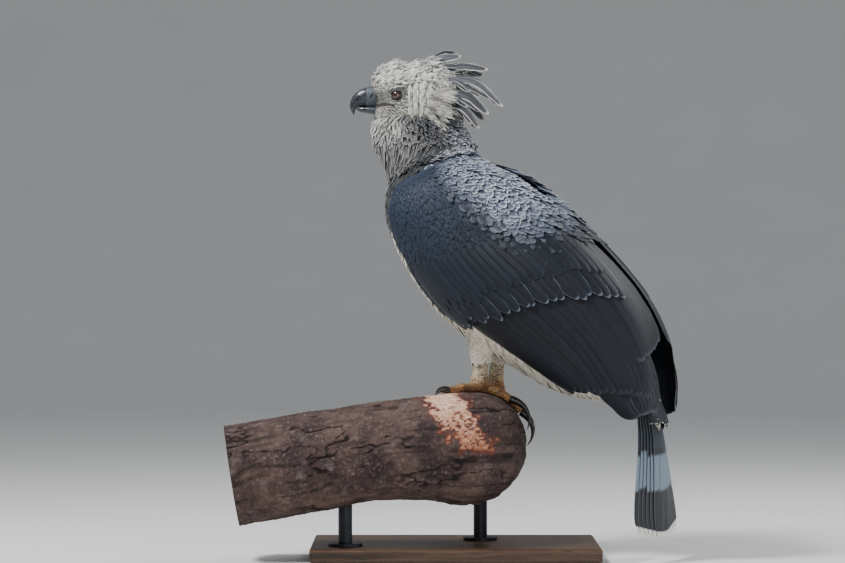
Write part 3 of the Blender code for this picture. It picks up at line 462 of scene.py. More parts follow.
# Materials: one call adds a node with its inputs, by place or name, and gives one of its outputs.
# A colour may be given as its sRGB hex. A Mix node mixes its inputs 6 and 7 by the share in input 0. A
# Math node multiplies its first two inputs and adds the third, unless another operation is named.
def addNode(material, kind, inputs=(), out=None, **settings):
    node = material.node_tree.nodes.new("ShaderNode" + kind)
    if kind == "Mix":
        node.data_type = "RGBA"
    if kind == "Math":
        node.operation = "MULTIPLY" if len(inputs) == 2 else "MULTIPLY_ADD"
    for key, value in settings.items():
        setattr(node, key, value)
    for key, value in inputs.items() if isinstance(inputs, dict) else enumerate(inputs):
        if isinstance(value, bpy.types.NodeSocket):
            material.node_tree.links.new(value, node.inputs[key])
        else:
            node.inputs[key].default_value = srgb(value) if isinstance(value, str) else value
    return node.outputs[usualOutput.get(kind, 0) if out is None else out]


# outputs linked to the material's shader, or fixed values set on it, by its inputs' names
def setShader(material, **values):
    inputs = material.node_tree.nodes["Principled BSDF"].inputs
    for key, value in values.items():
        socket = inputs[key.replace("_", " ")]
        if isinstance(value, bpy.types.NodeSocket):
            material.node_tree.links.new(value, socket)
        else:
            socket.default_value = value
    return material


# a material with its shader's fixed values, and the call that adds nodes to it
def newMaterial(name, **values):
    material = bpy.data.materials.new(name)
    material.use_nodes = True
    return setShader(material, **values), partial(addNode, material)


# Feather: keratin barbs on a shaft, matte to silky. Barbs are drawn 1.6 mm apart, four times as coarse
# as real ones, so that they show. 'tint' is the vane's colour, 'detail' its fringe, tone and length.
def featherMaterial(name, look):
    material, add = newMaterial(
        name, Roughness=look.get("roughness", 0.55), Specular_IOR_Level=look.get("specular", 0.35),
        Sheen_Weight=look.get("sheen", 0.15), Sheen_Roughness=0.4)
    place = add("UVMap", uv_map="vane")
    u, along = add("SeparateXYZ", [place]), add("SeparateXYZ", [place], 1)
    across = add("Math", [add("Math", [u, 2.0, -1.0])], operation="ABSOLUTE")
    tint = add("Attribute", attribute_name="tint")
    detail = add("Attribute", attribute_name="detail")
    fringe, tone, length = (add("SeparateColor", [detail], k) for k in range(3))
    metres = add("Math", [along, length])
    slant = add("Math", [across, -look.get("slant", 3.0)])
    phase = add("Math", [metres, look.get("barbs", 620.0), slant])
    wave = add("Math", [add("Math", [phase, 6.283])], operation="SINE")
    barb = add("Math", [wave, 0.5, 0.5])
    body = add("TexCoord")
    cloud = add("TexNoise", {"Vector": body, "Scale": 60.0, "Detail": 4.0, "Roughness": 0.6})
    dull = 1.0
    for value, key, usual in ((cloud, "mottle", 0.5), (tone, "vary", 0.3), (barb, "barbShade", 0.18)):
        strength = look.get(key, usual)
        shade = add("Math", [value, strength, 1.0 - strength / 2])
        dull = add("Math", [dull, shade])
    grey = add("CombineColor", [dull, dull, dull])
    colour = add("Mix", {0: 1.0, 6: tint, 7: grey}, blend_type="MULTIPLY")
    if "bars" in look:  # faint darker bars across the vane, drawn by its length in metres
        bars = look["bars"]
        turn = add("Math", [across, -1.2])
        wave = add("Math", [metres, 6.283 / bars["spacing"], turn])
        wave = add("Math", [wave], operation="SINE")
        mask = add("MapRange", [wave, bars["from"], bars["from"] + 0.15, 0.0, bars["strength"]])
        colour = add("Mix", {0: mask, 6: colour, 7: bars["colour"]})
    edge = add("MapRange", [across, look.get("edgeFrom", 0.62), 0.96, 0.0, look.get("edgeShare", 1.0)])
    tip = add("MapRange", [along, look.get("tipFrom", 0.86), look.get("tipTo", 0.985)])
    edge = add("Math", [edge, tip], operation="MAXIMUM")
    edge = add("Math", [edge, add("MapRange", [along, 0.25, 0.6])])
    edge = add("Math", [edge, fringe])
    colour = add("Mix", {0: edge, 6: colour, 7: look["fringe"]})
    for band in look.get("bands", []):  # level bands across hanging feathers, ragged by noise
        ragged = add("TexNoise", {"Vector": body, "Scale": 90.0, "Detail": 2.0})
        height = add("Math", [ragged, 0.01, add("SeparateXYZ", [body], 2)])
        height = add("Math", [tone, band["stagger"], height])
        up = add("MapRange", [height, band["low"], band["low"] + 0.006, 0.0, band["strength"]])
        down = add("MapRange", [height, band["high"], band["high"] + 0.006, 1.0, 0.0])
        mask = add("Math", [up, down])
        colour = add("Mix", {0: mask, 6: colour, 7: band["colour"]})
    shaft = add("MapRange", [across, 0.035, 0.1, look.get("shaftShare", 0.6), 0.0])
    colour = add("Mix", {0: shaft, 6: colour, 7: look["shaft"]})
    height = add("Math", [shaft, 2.0, barb])
    normal = add("Bump", {"Height": height, "Strength": look.get("bump", 0.35), "Distance": 0.0004})
    return setShader(material, Base_Color=colour, Normal=normal)


# Skin under the coat: matte down in the colours of the feathers over it, from the attribute 'tint',
# darkened under the head and neck as painted shade between the feathers
def skinMaterial(name):
    material, add = newMaterial(name, Roughness=0.85, Specular_IOR_Level=0.2)
    body = add("TexCoord")
    fine = add("TexNoise", {"Vector": body, "Scale": 420.0, "Detail": 5.0, "Roughness": 0.65})
    shade = add("Math", [fine, 0.9, 0.45])
    grey = add("CombineColor", [shade, shade, shade])
    tint = add("Attribute", attribute_name="tint")
    colour = add("Mix", {0: 1.0, 6: tint, 7: grey}, blend_type="MULTIPLY")
    normal = add("Bump", {"Height": fine, "Strength": 0.8, "Distance": 0.0015})
    return setShader(material, Base_Color=colour, Normal=normal)


# Colours of the plumage, as named places on the real bird
plumage = {
    "slate": "#1f2631", "slateDark": "#191d25", "slateBlue": "#2a3445", "scapular": "#4d5567",
    "mantle": "#474e5d", "white": "#ece6d6", "whiteShade": "#cdc5b4", "bandDark": "#22252b",
    "neck": "#84878c", "neckDark": "#373b41", "crown": "#dcdad5", "face": "#a9a7a0",
    "lores": "#5d5b57", "cheek": "#bcbaad", "throat": "#d9d7cf", "crest": "#54575e", "streak": "#3b3e43",
}
colourOf = {key: np.array(srgb(value)) for key, value in plumage.items()}


# rows of colours with a share of a named colour, rows * (1 - share) + colour * share
def mixRows(rows, name, share):
    share = np.asarray(share, float)[..., None]
    return rows * (1 - share) + colourOf[name] * share


# blend of two named colours by a share for each feather
def blendColours(a, b, share):
    return mixRows(colourOf[a], b, share)


# rows of colours under several layers, each a named colour and its share
def layered(rows, *layers):
    for name, share in layers:
        rows = mixRows(rows, name, share)
    return rows


# torso colours: a slate band on the upper breast, white below, slate over the back
def bodyColour(t, degrees):
    return layered(
        colourOf["white"], ("bandDark", ramp(t, 1.02, 0.86)), ("neckDark", ramp(t, 0.35, 0.05) * 0.8),
        ("mantle", ramp(np.sin(np.radians(degrees)), 0.15, 0.45)))


# neck colours: dark over the nape, darkest on the sides, paler up the front; the slate laid over the sides
# and nape is painted shade
def neckColour(w, degrees):
    front = ramp(-np.sin(np.radians(degrees)), 0.0, 0.9)
    return layered(
        colourOf["neckDark"], ("neck", ramp(w, 0.6, 3.8) * (0.15 + 0.85 * front)),
        # painted shade: slate over the sides and the nape; the dark band low down is the breast's own
        # colour
        ("slateDark", (1 - front) * 0.55), ("bandDark", ramp(w, 1.6, -0.6) * 0.8),
        ("throat", front * ramp(w, 2.2, 4.2) * 0.85))


# wing colours: blue slate at the wrist, pale scapulars, darkening towards the long feathers
def wingColour(t, degrees):
    return layered(
        colourOf["slateBlue"], ("slate", ramp(t, 0.9, 2.6)), ("slateDark", ramp(t, 2.4, 4.2)),
        ("scapular", ramp(degrees, 24, 44) * ramp(t, 3.6, 2.4)))


# head colours by place: pale crown, warm grey face, dusky lores, pale throat
def headColour(points):
    x, _, z = np.moveaxis(points - headCentre, -1, 0)
    lores = np.hypot(x + 0.058, z + 0.002)
    return layered(
        colourOf["face"], ("crown", ramp(z, 0.018, 0.04)),
        ("cheek", ramp(x, -0.01, 0.03) * ramp(z, 0.02, 0.0)),
        ("throat", ramp(z, -0.035, -0.055) * ramp(x, 0.01, -0.03)),
        ("lores", ramp(lores, 0.022, 0.008) * 0.8))


# Vanes with what their material and bake read: the colour, then the fringe's share, a random tone and
# the length in metres, and the root's place in the bake with the patch that each vane takes there
def dressed(part, tint, fringe, length, place, patch=0.003):
    count = len(tint)
    part["tint"] = tint
    rows = np.broadcast_arrays(np.asarray(fringe, float), random.random(count), length, 1.0)
    part["detail"] = np.stack(rows, -1)
    part["root"] = np.stack(np.broadcast_arrays(*place, np.zeros(count))[:2], -1)
    part["patch"] = patch
    return part


# factors that vary by a share up and down
def varied(share, count):
    return random.uniform(1 - share, 1 + share, count)


# brick-like grid of roots over two parameters, with each row shifted by half a step and jittered
def brickGrid(uRange, vRange, uCount, vCount, jitter=0.25):
    rows, columns = np.linspace(*uRange, uCount), np.linspace(*vRange, vCount, endpoint=False)
    u, v = np.meshgrid(rows, columns, indexing="ij")
    stepU, stepV = (uRange[1] - uRange[0]) / (uCount - 1), (vRange[1] - vRange[0]) / vCount
    v = v + (np.arange(uCount) % 2)[:, None] * stepV / 2
    u = u + random.uniform(-jitter, jitter, u.shape) * stepU
    v = v + random.uniform(-jitter, jitter, v.shape) * stepV
    return u.ravel(), v.ravel()


# Studio: camera level at the photo's height, soft lights, pale floor
studio = {
    "camera": (-0.0569, -6.0, 0.4796), "lens": 146.0, "floor": "#dcdcda", "world": "#dfe3ea",
    "worldStrength": 0.52, "flat": 7.0, "bend": 5.0, "rim": 8.0,
    "lights": [  # place, aim, size, watts
        ((-1.5, -0.9, 2.7), (0.0, 0.0, 0.55), 0.7, 112.0),
        ((1.9, 1.1, 2.3), (0.05, 0.0, 0.5), 0.8, 40.0),
        ((0.9, -3.6, 0.9), (0.1, 0.0, 0.35), 1.8, 26.0),
        ((2.6, -0.9, 0.7), (0.2, 0.0, 0.4), 1.2, 30.0),
    ],
}


# camera, soft lights, even world light and a floor of matte paper
def makeStudio():
    scene = bpy.context.scene
    camera = bpy.data.objects.new("camera", bpy.data.cameras.new("camera"))
    camera.location = studio["camera"]
    camera.rotation_euler = (math.pi / 2, 0, 0)
    camera.data.lens = studio["lens"]
    scene.collection.objects.link(camera)
    scene.camera = camera
    for place, aim, size, power in studio["lights"]:
        lamp = bpy.data.lights.new("softbox", "AREA")
        lamp.size, lamp.energy = size, power
        obj = bpy.data.objects.new("softbox", lamp)
        obj.location = place
        obj.rotation_euler = (Vector(aim) - Vector(place)).to_track_quat("-Z", "Y").to_euler()
        scene.collection.objects.link(obj)
    world = bpy.data.worlds.new("studio")
    world.use_nodes = True
    world.node_tree.nodes["Background"].inputs[0].default_value = srgb(studio["world"])
    world.node_tree.nodes["Background"].inputs[1].default_value = studio["worldStrength"]
    scene.world = world
    # studio paper: matte, so it only gives a soft shadow
    material, add = newMaterial("studioPaper", Roughness=0.95, Specular_IOR_Level=0.1)
    body = add("TexCoord")
    grain = add("TexNoise", {"Vector": body, "Scale": 3.0, "Detail": 2.0})
    shade = add("MapRange", [grain, 0.3, 0.7, 0.97, 1.0])
    grey = add("CombineColor", [shade, shade, shade])
    colour = add("Mix", {0: 1.0, 6: studio["floor"], 7: grey}, blend_type="MULTIPLY")
    setShader(material, Base_Color=colour)
    # a wide bowl: flat floor, then a quarter circle up to an open rim, so no horizon shows
    turn, flat, bend = np.linspace(0, np.pi / 2, 16), studio["flat"], studio["bend"]
    reach = np.concatenate([[0.02, 1.5, 4.0, flat], flat + bend * np.sin(turn[1:]), [flat + bend]])
    height = np.concatenate([[0, 0, 0, 0], bend - bend * np.cos(turn[1:]), [studio["rim"]]]) - 0.0002
    angle = fullTurn(96)
    ring = np.stack([np.cos(angle), np.sin(angle), 0 * angle], -1)
    points = ring[None] * reach[:, None, None] + np.array([0, 0, 1.0]) * height[:, None, None]
    faces = gridFaces(*points.shape[:2])[: 2 - len(angle)]  # no lid over the rim
    mesh = bpy.data.meshes.new("floor")
    mesh.from_pydata(points.reshape(-1, 3).tolist(), [], faces.tolist())
    mesh.shade_smooth()
    mesh.materials.append(material)
    floor = bpy.data.objects.new("floor", mesh)
    scene.collection.objects.link(floor)


makeStudio()
print("studio")

featherLook = {
    "wing": {"fringe": "#8792a3", "shaft": "#0a0b0d", "mottle": 0.55, "edgeFrom": 0.86, "tipFrom": 0.955,
             "tipTo": 0.99, "edgeShare": 0.55, "barbs": 520.0, "slant": 4.0, "roughness": 0.5,
             "specular": 0.22, "sheen": 0.02, "shaftShare": 0.75},
    "scale": {"fringe": "#cfd5df", "shaft": "#1d2027", "mottle": 0.7, "edgeFrom": 0.62, "tipFrom": 0.78,
              "roughness": 0.5, "specular": 0.35, "sheen": 0.05, "shaftShare": 0.6},
    "white": {"fringe": "#f4f0e6", "shaft": "#cfc8ba", "mottle": 0.25, "vary": 0.15, "barbShade": 0.22,
              "roughness": 0.7, "specular": 0.2, "shaftShare": 0.3, "bump": 0.5},
    "thigh": {"fringe": "#f2ecdf", "shaft": "#c9c0af", "mottle": 0.25, "vary": 0.15, "barbShade": 0.2,
              "roughness": 0.7, "specular": 0.2, "shaftShare": 0.3, "bump": 0.5,
              "bars": {"spacing": 0.011, "from": 0.72, "strength": 0.45, "colour": "#4a4038"}},
    "head": {"fringe": "#efece6", "shaft": "#8b8983", "mottle": 0.35, "vary": 0.45, "barbShade": 0.25,
             "edgeFrom": 0.55, "tipFrom": 0.8, "roughness": 0.65, "specular": 0.25, "shaftShare": 0.45,
             "bump": 0.5},
    "crest": {"fringe": "#d9d7d1", "shaft": "#131417", "mottle": 0.8, "vary": 0.35, "edgeFrom": 0.72,
              "tipFrom": 0.92, "roughness": 0.5, "shaftShare": 0.7},
    "tail": {"fringe": "#dcdad2", "shaft": "#0a0b0d", "mottle": 0.45, "vary": 0.25, "edgeFrom": 0.9,
             "edgeShare": 0.16, "tipFrom": 0.966, "tipTo": 0.974, "roughness": 0.48, "specular": 0.3,
             "sheen": 0.02, "shaftShare": 0.6, "barbs": 480.0,
             "bands": [
                 {"low": 0.132, "high": 0.192, "stagger": 0.01, "strength": 0.92, "colour": "#6c7c89"},
                 {"low": 0.206, "high": 0.232, "stagger": 0.012, "strength": 0.5, "colour": "#2c3644"},
             ]},
}
# flight feathers and coverts: stiff keratin with a silky, faintly blue sheen
wingFeather = featherMaterial("wing_feather_keratin", featherLook["wing"])
# short overlapping feathers of the back: pale worn fringes catch the light
scaleFeather = featherMaterial("back_feather_keratin", featherLook["scale"])
# body down: matte, soft, no sheen
whiteFeather = featherMaterial("belly_feather_down", featherLook["white"])
thighFeather = featherMaterial("thigh_feather_down", featherLook["thigh"])
headFeather = featherMaterial("head_feather_down", featherLook["head"])
crestFeather = featherMaterial("crest_feather_keratin", featherLook["crest"])
tailFeather = featherMaterial("tail_feather_keratin", featherLook["tail"])

# Wing rows: roots from first to last and tips likewise, as (station, degrees) on the hull
wingRows = [
    {"roots": ((4.4, -8), (4.6, 46)), "tips": ((7.62, -28), (7.97, 50)), "count": 9, "half": 0.0185,
     "rise": 0.0004, "rows": 16, "long": True, "fringe": 0.2},
    {"roots": ((3.3, -46), (3.9, 52)), "tips": ((5.35, -62), (7.3, 32)), "count": 16, "half": 0.0185,
     "rise": 0.0018, "rows": 14, "long": True, "fringe": 0.08},
    {"roots": ((3.5, 50), (3.5, 80)), "tips": ((6.35, 46), (6.1, 78)), "count": 6, "half": 0.02,
     "rise": 0.004, "rows": 14, "long": True, "fringe": 0.15},
    {"roots": ((2.35, -46), (3.75, 68)), "tips": ((3.38, -53), (4.98, 62)), "count": 20, "half": 0.015,
     "rise": 0.0046, "rows": 10, "long": False, "fringe": 0.6},
    {"roots": ((2.0, -44), (3.3, 66)), "tips": ((2.95, -50), (4.4, 62)), "count": 24, "half": 0.013,
     "rise": 0.005, "rows": 9, "long": False, "fringe": 0.06},
]
# the hull's lower and upper edge in degrees at each station of a wing
wingLow = [-20, -42, -56, -62, -60, -64, -66, -68, -70]
wingHigh = [40, 56, 72, 85, 88, 88, 88, 88, 88]
# smooth lesser coverts, and the crisp pale-edged scapulars: ranges of station and degrees, rows and columns
wingScales = [
    {"t": (0.42, 3.15), "degrees": (-60, 66), "counts": (34, 40), "length": 0.03, "half": 0.0072,
     "rise": (0.0012, 0.0042), "loose": 0.0001, "head": (1.0, -3.0), "fringe": 0.0, "lean": 0.01},
    {"t": (0.38, 3.55), "degrees": (24, 92), "counts": (40, 22), "length": 0.024, "half": 0.0066,
     "rise": (0.0008, 0.0086), "loose": 0.0014, "head": (1.0, -4.0), "fringe": 1.0, "lean": 0.2},
]


# rows of long feathers on straight lines between their roots and tips on the hull
def flightFeathers(surface, row, side):
    count, s = row["count"], tipStations(row["rows"])
    share = np.linspace(0, 1, count)[:, None]
    roots, tips = (np.array(first) * (1 - share) + np.array(last) * share
                   for first, last in (row["roots"], row["tips"]))
    tips = tips + random.normal(0, 1, tips.shape) * [0.035, 0.8]
    t = roots[:, :1] * (1 - s) + tips[:, :1] * s
    degrees = roots[:, 1:] * (1 - s) + tips[:, 1:] * s
    rise = row["rise"] - 0.003 + 0.0045 * s**0.7 + 0.0012 * np.arange(count)[:, None] / count
    wide = (0.55, 0.3, *((0.8, 2.0) if row["long"] else (0.5, 1.7)))
    paths = surfaceFrame(surface, t, degrees, rise)
    part = vanes(paths, row["half"] * random.uniform(0.94, 1.06, count), s, wide, 0.0008,
                 0.16, 0.07 * side, across=5, ragged=0.1)
    length = pathLength(paths[0])
    tint = wingColour(tips[:, 0] - 0.4 * (tips[:, 0] - roots[:, 0]), 0 * roots[:, 1])
    place = (roots[:, 0] / 9, (roots[:, 1] + 90) / 200)
    return dressed(part, tint, row["fringe"], length, place, 0.03)


# short feathers on a brick grid, small at the wrist: the size runs with the station t
def wingScalePart(surface, patch):
    t, degrees = brickGrid(patch["t"], patch["degrees"], *patch["counts"])
    stations = np.arange(9)
    low, high = np.interp(t, stations, wingLow) + 3, np.interp(t, stations, wingHigh) + 8
    keep = (degrees < high) & (degrees > low)
    t, degrees = t[keep], degrees[keep]
    count, s = len(t), tipStations(7)
    length = patch["length"] * varied(0.15, count) * np.interp(t, [0.4, 1.4, 3.0], [0.55, 0.95, 1.25])
    tipRise = patch["rise"][1] + random.normal(0, patch["loose"], (count, 1))
    pale = patch["fringe"] > 0.5
    if pale:  # the pale patch thins out into the coverts round it
        tipRise -= 0.003 * (1 - ramp(degrees, 30, 48) * ramp(t, 3.2, 2.4))[:, None]
    rise = patch["rise"][0] + (tipRise - patch["rise"][0]) * s**0.8
    headV = patch["head"][1] + random.normal(0, 6, count)
    paths = surfacePaths(surface, t, degrees, np.full(count, patch["head"][0]), headV, length, s, rise)
    half = patch["half"] * varied(0.12, count) * np.interp(t, [0.4, 1.4, 3.0], [0.6, 0.95, 1.3])
    part = vanes(paths, half, s, (0.5, 0.3, 0.4, 1.6), 0.0006, 0.22,
                 random.normal(0, patch["lean"], count), ragged=0.12)
    tint = wingColour(t + random.normal(0, 0.12, count), degrees + random.normal(0, 3, count))
    inner = ramp(degrees, patch["degrees"][0], patch["degrees"][0] + 22) * ramp(t, 3.3, 2.2)
    fringe = patch["fringe"] * (inner if pale else 1) * random.uniform(0.5, 1, count)
    return dressed(part, tint, fringe, length, (t / 9, (degrees + 90) / 200), 0.008)


# Wing: flight feathers and smooth coverts in one piece, the pale-edged scapulars in another
def makeWing(side, name):
    surface = partial(wingPoint, side=side)
    parts = [flightFeathers(surface, row, side) for row in wingRows]
    coverts, scapulars = (wingScalePart(surface, patch) for patch in wingScales)
    joinVanes("scapularCoat_" + name, [scapulars], scaleFeather, "wing_feathers")
    return joinVanes("wingCoat_" + name, parts + [coverts], wingFeather, "wing_feathers")


for sideSign, sideName in bothSides:
    wing = makeWing(sideSign, sideName)
    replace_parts(wing, "wing_" + sideName)


# Tail: twelve long feathers in a closed fan, the middle pair on top, with coverts over their roots
tail = {
    "count": 12, "half": 0.0225, "apart": 0.01, "layer": 0.0019, "grade": 0.0024, "thick": 0.0008,
    "root": (0.276, 0.385, 0.002), "knee": (0.324, 0.285, 0.0046), "tip": (0.35, 0.0385, 0.015),
    # middle x and z of each ring of coverts, its depth and width, and the coverts' length
    "coverts": [(0.262, 0.4, 0.03, 0.04, 0.085), (0.29, 0.35, 0.024, 0.038, 0.085),
                (0.312, 0.305, 0.016, 0.034, 0.08)],
    "covertCount": 26, "covertHalf": 0.0125,
}


# directions of the body's frame as directions at the stand
def turnedToStand(vectors):
    return onStand(vectors) - onStand(np.zeros((1, 3)))


# long feathers through three knots each, the outer ones a little lower and behind the middle ones
def tailFeathers():
    count = tail["count"]
    place = np.arange(count) - (count - 1) / 2
    order = np.abs(place) - 0.5
    apart = tail["apart"] * np.sign(place)  # the two halves of the fan stand a little apart
    layer = -tail["layer"] * (2 * order + (place > 0)) / 1.7
    knots = []
    for (x, z, step), slide, drop in zip((tail["root"], tail["knee"], tail["tip"]), (0.5, 1, 1), (0, 0, 1)):
        knots.append(np.stack([
            x + layer * slide, place * step + apart * drop, z + tail["grade"] * order * drop], -1))
    s = tipStations(20)
    centre = onStand(smoothCurve((0.0, 0.3, 1.0), np.stack(knots), s).transpose(1, 0, 2))
    normal = np.broadcast_to(unit(turnedToStand(np.array([[1.0, 0, 0.35]])))[None], centre.shape)
    part = vanes((centre, normal), tail["half"], s, (0.35, 0.35, 0.9, 1.8), tail["thick"],
                 0.03, 0.0, across=7, ragged=0.06)
    length = pathLength(centre)
    tint = np.repeat(colourOf["slateDark"][None], count, 0)
    return dressed(part, tint, 0.85, length, (np.linspace(0.1, 0.9, count), 0.5), 0.05)


# coverts: rows round the rump that lie down over the long feathers' roots, above and below
def tailCoverts(level, x, z, deep, wide, length):
    count, s = tail["covertCount"], tipStations(9)
    angle = fullTurn(count) + level * 0.1
    sideways = lambda size: np.stack([0 * angle, size * np.cos(angle), 0 * angle], -1)
    lean = np.array([0.9, 0.0, 0.44])
    root = np.array([x, 0, z]) + np.sin(angle)[:, None] * lean * deep * 0.75 + sideways(wide * 0.75)
    out = np.sin(angle)[:, None] * lean / deep + sideways(1 / wide)
    down = np.broadcast_to([0.22, 0.0, -1.0], root.shape) + sideways(-0.1)
    lengths = length * random.uniform(0.9, 1.1, count)
    out, down = unit(turnedToStand(out)), turnedToStand(down)
    paths = straightPaths(onStand(root), out, down, lengths, s, 0.0, 0.06, 0.1)
    part = vanes(paths, tail["covertHalf"], s, (0.5, 0.3, 0.55, 1.7), tail["thick"], 0.15,
                 across=5, ragged=0.1)
    tint = blendColours("slateDark", "white", ramp(-np.sin(angle), 0.1, 0.5) * 0.85)
    return dressed(part, tint, 0.45, lengths, (np.linspace(0.05, 0.95, count), 0.1 + 0.1 * level), 0.02)


tailParts = [tailFeathers()] + [tailCoverts(level, *ring) for level, ring in enumerate(tail["coverts"])]
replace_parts(joinVanes("tailCoat", tailParts, tailFeather, "tail_feathers"), "tail")


# Coats of short feathers on brick grids. Grid: ranges of both parameters, then rows and columns. The
# tables of length, half width and rise run over the first parameter; 'vary' is by how much the first
# two differ from feather to feather, 'sway' and 'lean' how far they turn in degrees and in radians.
coats = {
    "body": {
        "grid": ((0.02, 5.9), (-180, 180), 50, 70), "stations": 6, "towards": 1, "sway": 7, "lean": 1,
        "length": ([0, 1, 3, 5], [0.03, 0.036, 0.048, 0.05]), "vary": (0.15, 0.15),
        "half": ([0, 0.8, 1.5, 3], [0.0055, 0.0075, 0.01, 0.012]), "tip": (0.5, 0.3, 0.45, 1.6),
        "rise": ([0, 1, 2, 4], [0.006, 0.009, 0.012, 0.016]), "sunk": 0.003, "power": 0.8,
        "thick": 0.0005, "cup": 0.2, "ragged": 0.12},
    "mantle": {
        "grid": ((-9.0, 4.4), (22, 158), 52, 26), "stations": 7, "towards": -1, "sway": 6, "lean": 0.12,
        "length": ([-3, 0, 2, 4], [0.036, 0.022, 0.015, 0.011]), "vary": (0.15, 0.12),
        "half": ([-4, 0, 2, 4], [0.0105, 0.0068, 0.0046, 0.0034]), "tip": (0.5, 0.3, 0.4, 1.6),
        "rise": ([-2, 1], [0.0105, 0.0086]), "sunk": 0.001, "power": 0.8, "loose": 0.001,
        "thick": 0.0006, "cup": 0.22, "ragged": 0.12},
    "neck": {
        "grid": ((-2.6, 4.8), (-180, 180), 44, 72), "stations": 7, "towards": -1, "sway": 5, "lean": 0.25,
        "length": ([2, 4.5], [0.019, 0.01425]), "vary": (0.2, 0.2),
        "half": ([1.5, 4.5], [0.004, 0.00248]), "tip": (0.6, 0.3, 0.3, 1.3),
        "rise": ([-2.6, 0, 2], [0.0055, 0.0075, 0.0095]), "sunk": 0.001, "power": 0.9,
        "riseVary": (0.8, 1.3), "thick": 0.0005, "cup": 0.35, "ragged": 0.2},
    "thigh": {
        "grid": ((0.1, 4.25), (-180, 180), 20, 30), "stations": 6, "towards": 1, "sway": 7, "lean": 0.15,
        "length": ([0, 3, 4.2], [0.034, 0.024, 0.017]), "vary": (0.15, 0.15),
        "half": ([0, 4], [0.008, 0.0042]), "tip": (0.5, 0.3, 0.4, 1.5),
        "rise": ([0, 3, 4], [0.007, 0.005, 0.0028]), "sunk": 0.001, "power": 0.9,
        "thick": 0.0005, "cup": 0.2, "ragged": 0.25},
}


# A coat's feathers on a surface: each rises by -sunk + rise * s^power over its length. The factors and
# turns that a caller gives come on top of the coat's own. Returns the vanes and their lengths.
def layCoat(coat, surface, u, v, longer=1.0, wider=1.0, turn=0.0, leaning=1.0):
    count, s = len(u), tipStations(coat["stations"])
    length = np.interp(u, *coat["length"]) * varied(coat["vary"][0], count) * longer
    rise = np.interp(u, *coat["rise"])[:, None]
    if "riseVary" in coat:
        rise = rise * random.uniform(*coat["riseVary"], (count, 1))
    rise = rise * s ** coat["power"] - coat["sunk"]
    if "loose" in coat:
        rise = rise + random.normal(0, coat["loose"], (count, 1)) * s
    sway = random.normal(0, coat["sway"], count) + turn
    paths = surfacePaths(surface, u, v, np.full(count, coat["towards"]), sway, length, s, rise)
    half = np.interp(u, *coat["half"]) * varied(coat["vary"][1], count) * wider
    lean = random.normal(0, coat["lean"], count) * leaning
    part = vanes(paths, half, s, coat["tip"], coat["thick"], coat["cup"], lean,
                 ragged=coat["ragged"])
    return part, length


# Body: breast band and white belly
def makeBody():
    t, degrees = brickGrid(*coats["body"]["grid"])
    inside = np.sin(np.radians(degrees))
    keep = (inside < np.interp(t, [0, 0.6, 1.2], [2.0, 0.1, -0.2])) & (inside < 0.995)
    t, degrees = t[keep], degrees[keep]
    part, length = layCoat(coats["body"], torsoPoint, t, degrees, turn=-4 * np.cos(np.radians(degrees)),
                           leaning=np.interp(t, [1.0, 2.5], [0.12, 0.03]))
    tint = bodyColour(t + random.normal(0, 0.03, len(t)), degrees)
    fringe = 0.3 * (1 - ramp(t, 0.2, 0.5)) + 0.3 * ramp(t, 0.9, 1.2)
    part = dressed(part, tint, fringe, length, (t / 7, (degrees + 180) / 360))
    joinVanes("bodyCoat", [part], whiteFeather, "body_feathers")


# Mantle: short pale-edged feathers down the nape and between the wings
def makeMantle():
    w, degrees = brickGrid(*coats["mantle"]["grid"])
    part, length = layCoat(coats["mantle"], trunkPoint, w, degrees)
    tint = blendColours("scapular", "mantle", random.random(len(w)))
    tint = mixRows(tint, "neckDark", ramp(w, -1.0, 1.5) * 0.8)
    fringe = random.uniform(0.5, 1.0, len(w))
    part = dressed(part, tint, fringe, length, ((w + 9.5) / 15, (degrees + 180) / 360))
    joinVanes("mantleCoat", [part], scaleFeather, "body_feathers")


# Neck: narrow pointed feathers that run down over the breast and the back, in dark and pale clumps
def makeNeck():
    w, degrees = brickGrid(*coats["neck"]["grid"])
    keep = np.sin(np.radians(degrees)) < np.interp(w, [-0.2, 0.0, 4.2, 4.5], [0.35, 0.6, 0.6, 1.1])
    w, degrees = w[keep], degrees[keep]
    front = ramp(-np.sin(np.radians(degrees)), -0.2, 0.5)
    part, length = layCoat(coats["neck"], trunkPoint, w, degrees, longer=1 + front * 9 / 19,
                           wider=1 - 0.2 * front)
    tone = random.random(len(w))
    gather = softNoise(trunkPoint(w, degrees, np.zeros(len(w))), 0.009, 71)
    dark = np.interp(w, [0, 4.5], [0.8, 0.6]) * ramp(tone + 0.5 * gather, 0.36, 0.64)
    tint = mixRows(neckColour(w, degrees), "slateDark", dark)
    fringe = (0.1 + 0.35 * ramp(w, -0.5, 2.5)) * (0.35 + 0.65 * front)
    part = dressed(part, tint, fringe, length, ((w + 3) / 8, (degrees + 180) / 360))
    joinVanes("neckCoat", [part], headFeather, "head_feathers")


makeBody()
makeMantle()
makeNeck()


# y of the head's side at x and z from its centre
def headSide(x, z, out):
    stations = (headTable[:, 0] + headTable[:, 2]) / 2
    rows = smoothCurve(stations, headTable[:, [1, 3, 4]], x)
    middle, reach = (rows[..., 0] + rows[..., 1]) / 2, (rows[..., 0] - rows[..., 1]) / 2
    level = np.maximum(0.0, 1 - np.minimum(1.0, np.abs(z - middle) / reach) ** 2)
    return rows[..., 2] * np.sqrt(level) ** 0.9 + out


eye = {"radius": 0.0125, "place": (-0.0282, 0.0362, 0.0033), "look": (-0.3, 0.95, 0.02), "iris": 0.49,
       "pupil": 0.21, "wide": 0.0094, "high": 0.0047, "corner": 1.55, "tilt": 15.0}
mouth = {"start": (-0.07, -0.0156), "end": (-0.034, -0.016), "sag": 0.004, "stations": (0.15, 3.05)}


# the eyeball's centre, mirrored for the right side
def eyeCentre(side):
    return headCentre + np.array(eye["place"]) * [1, side, 1]


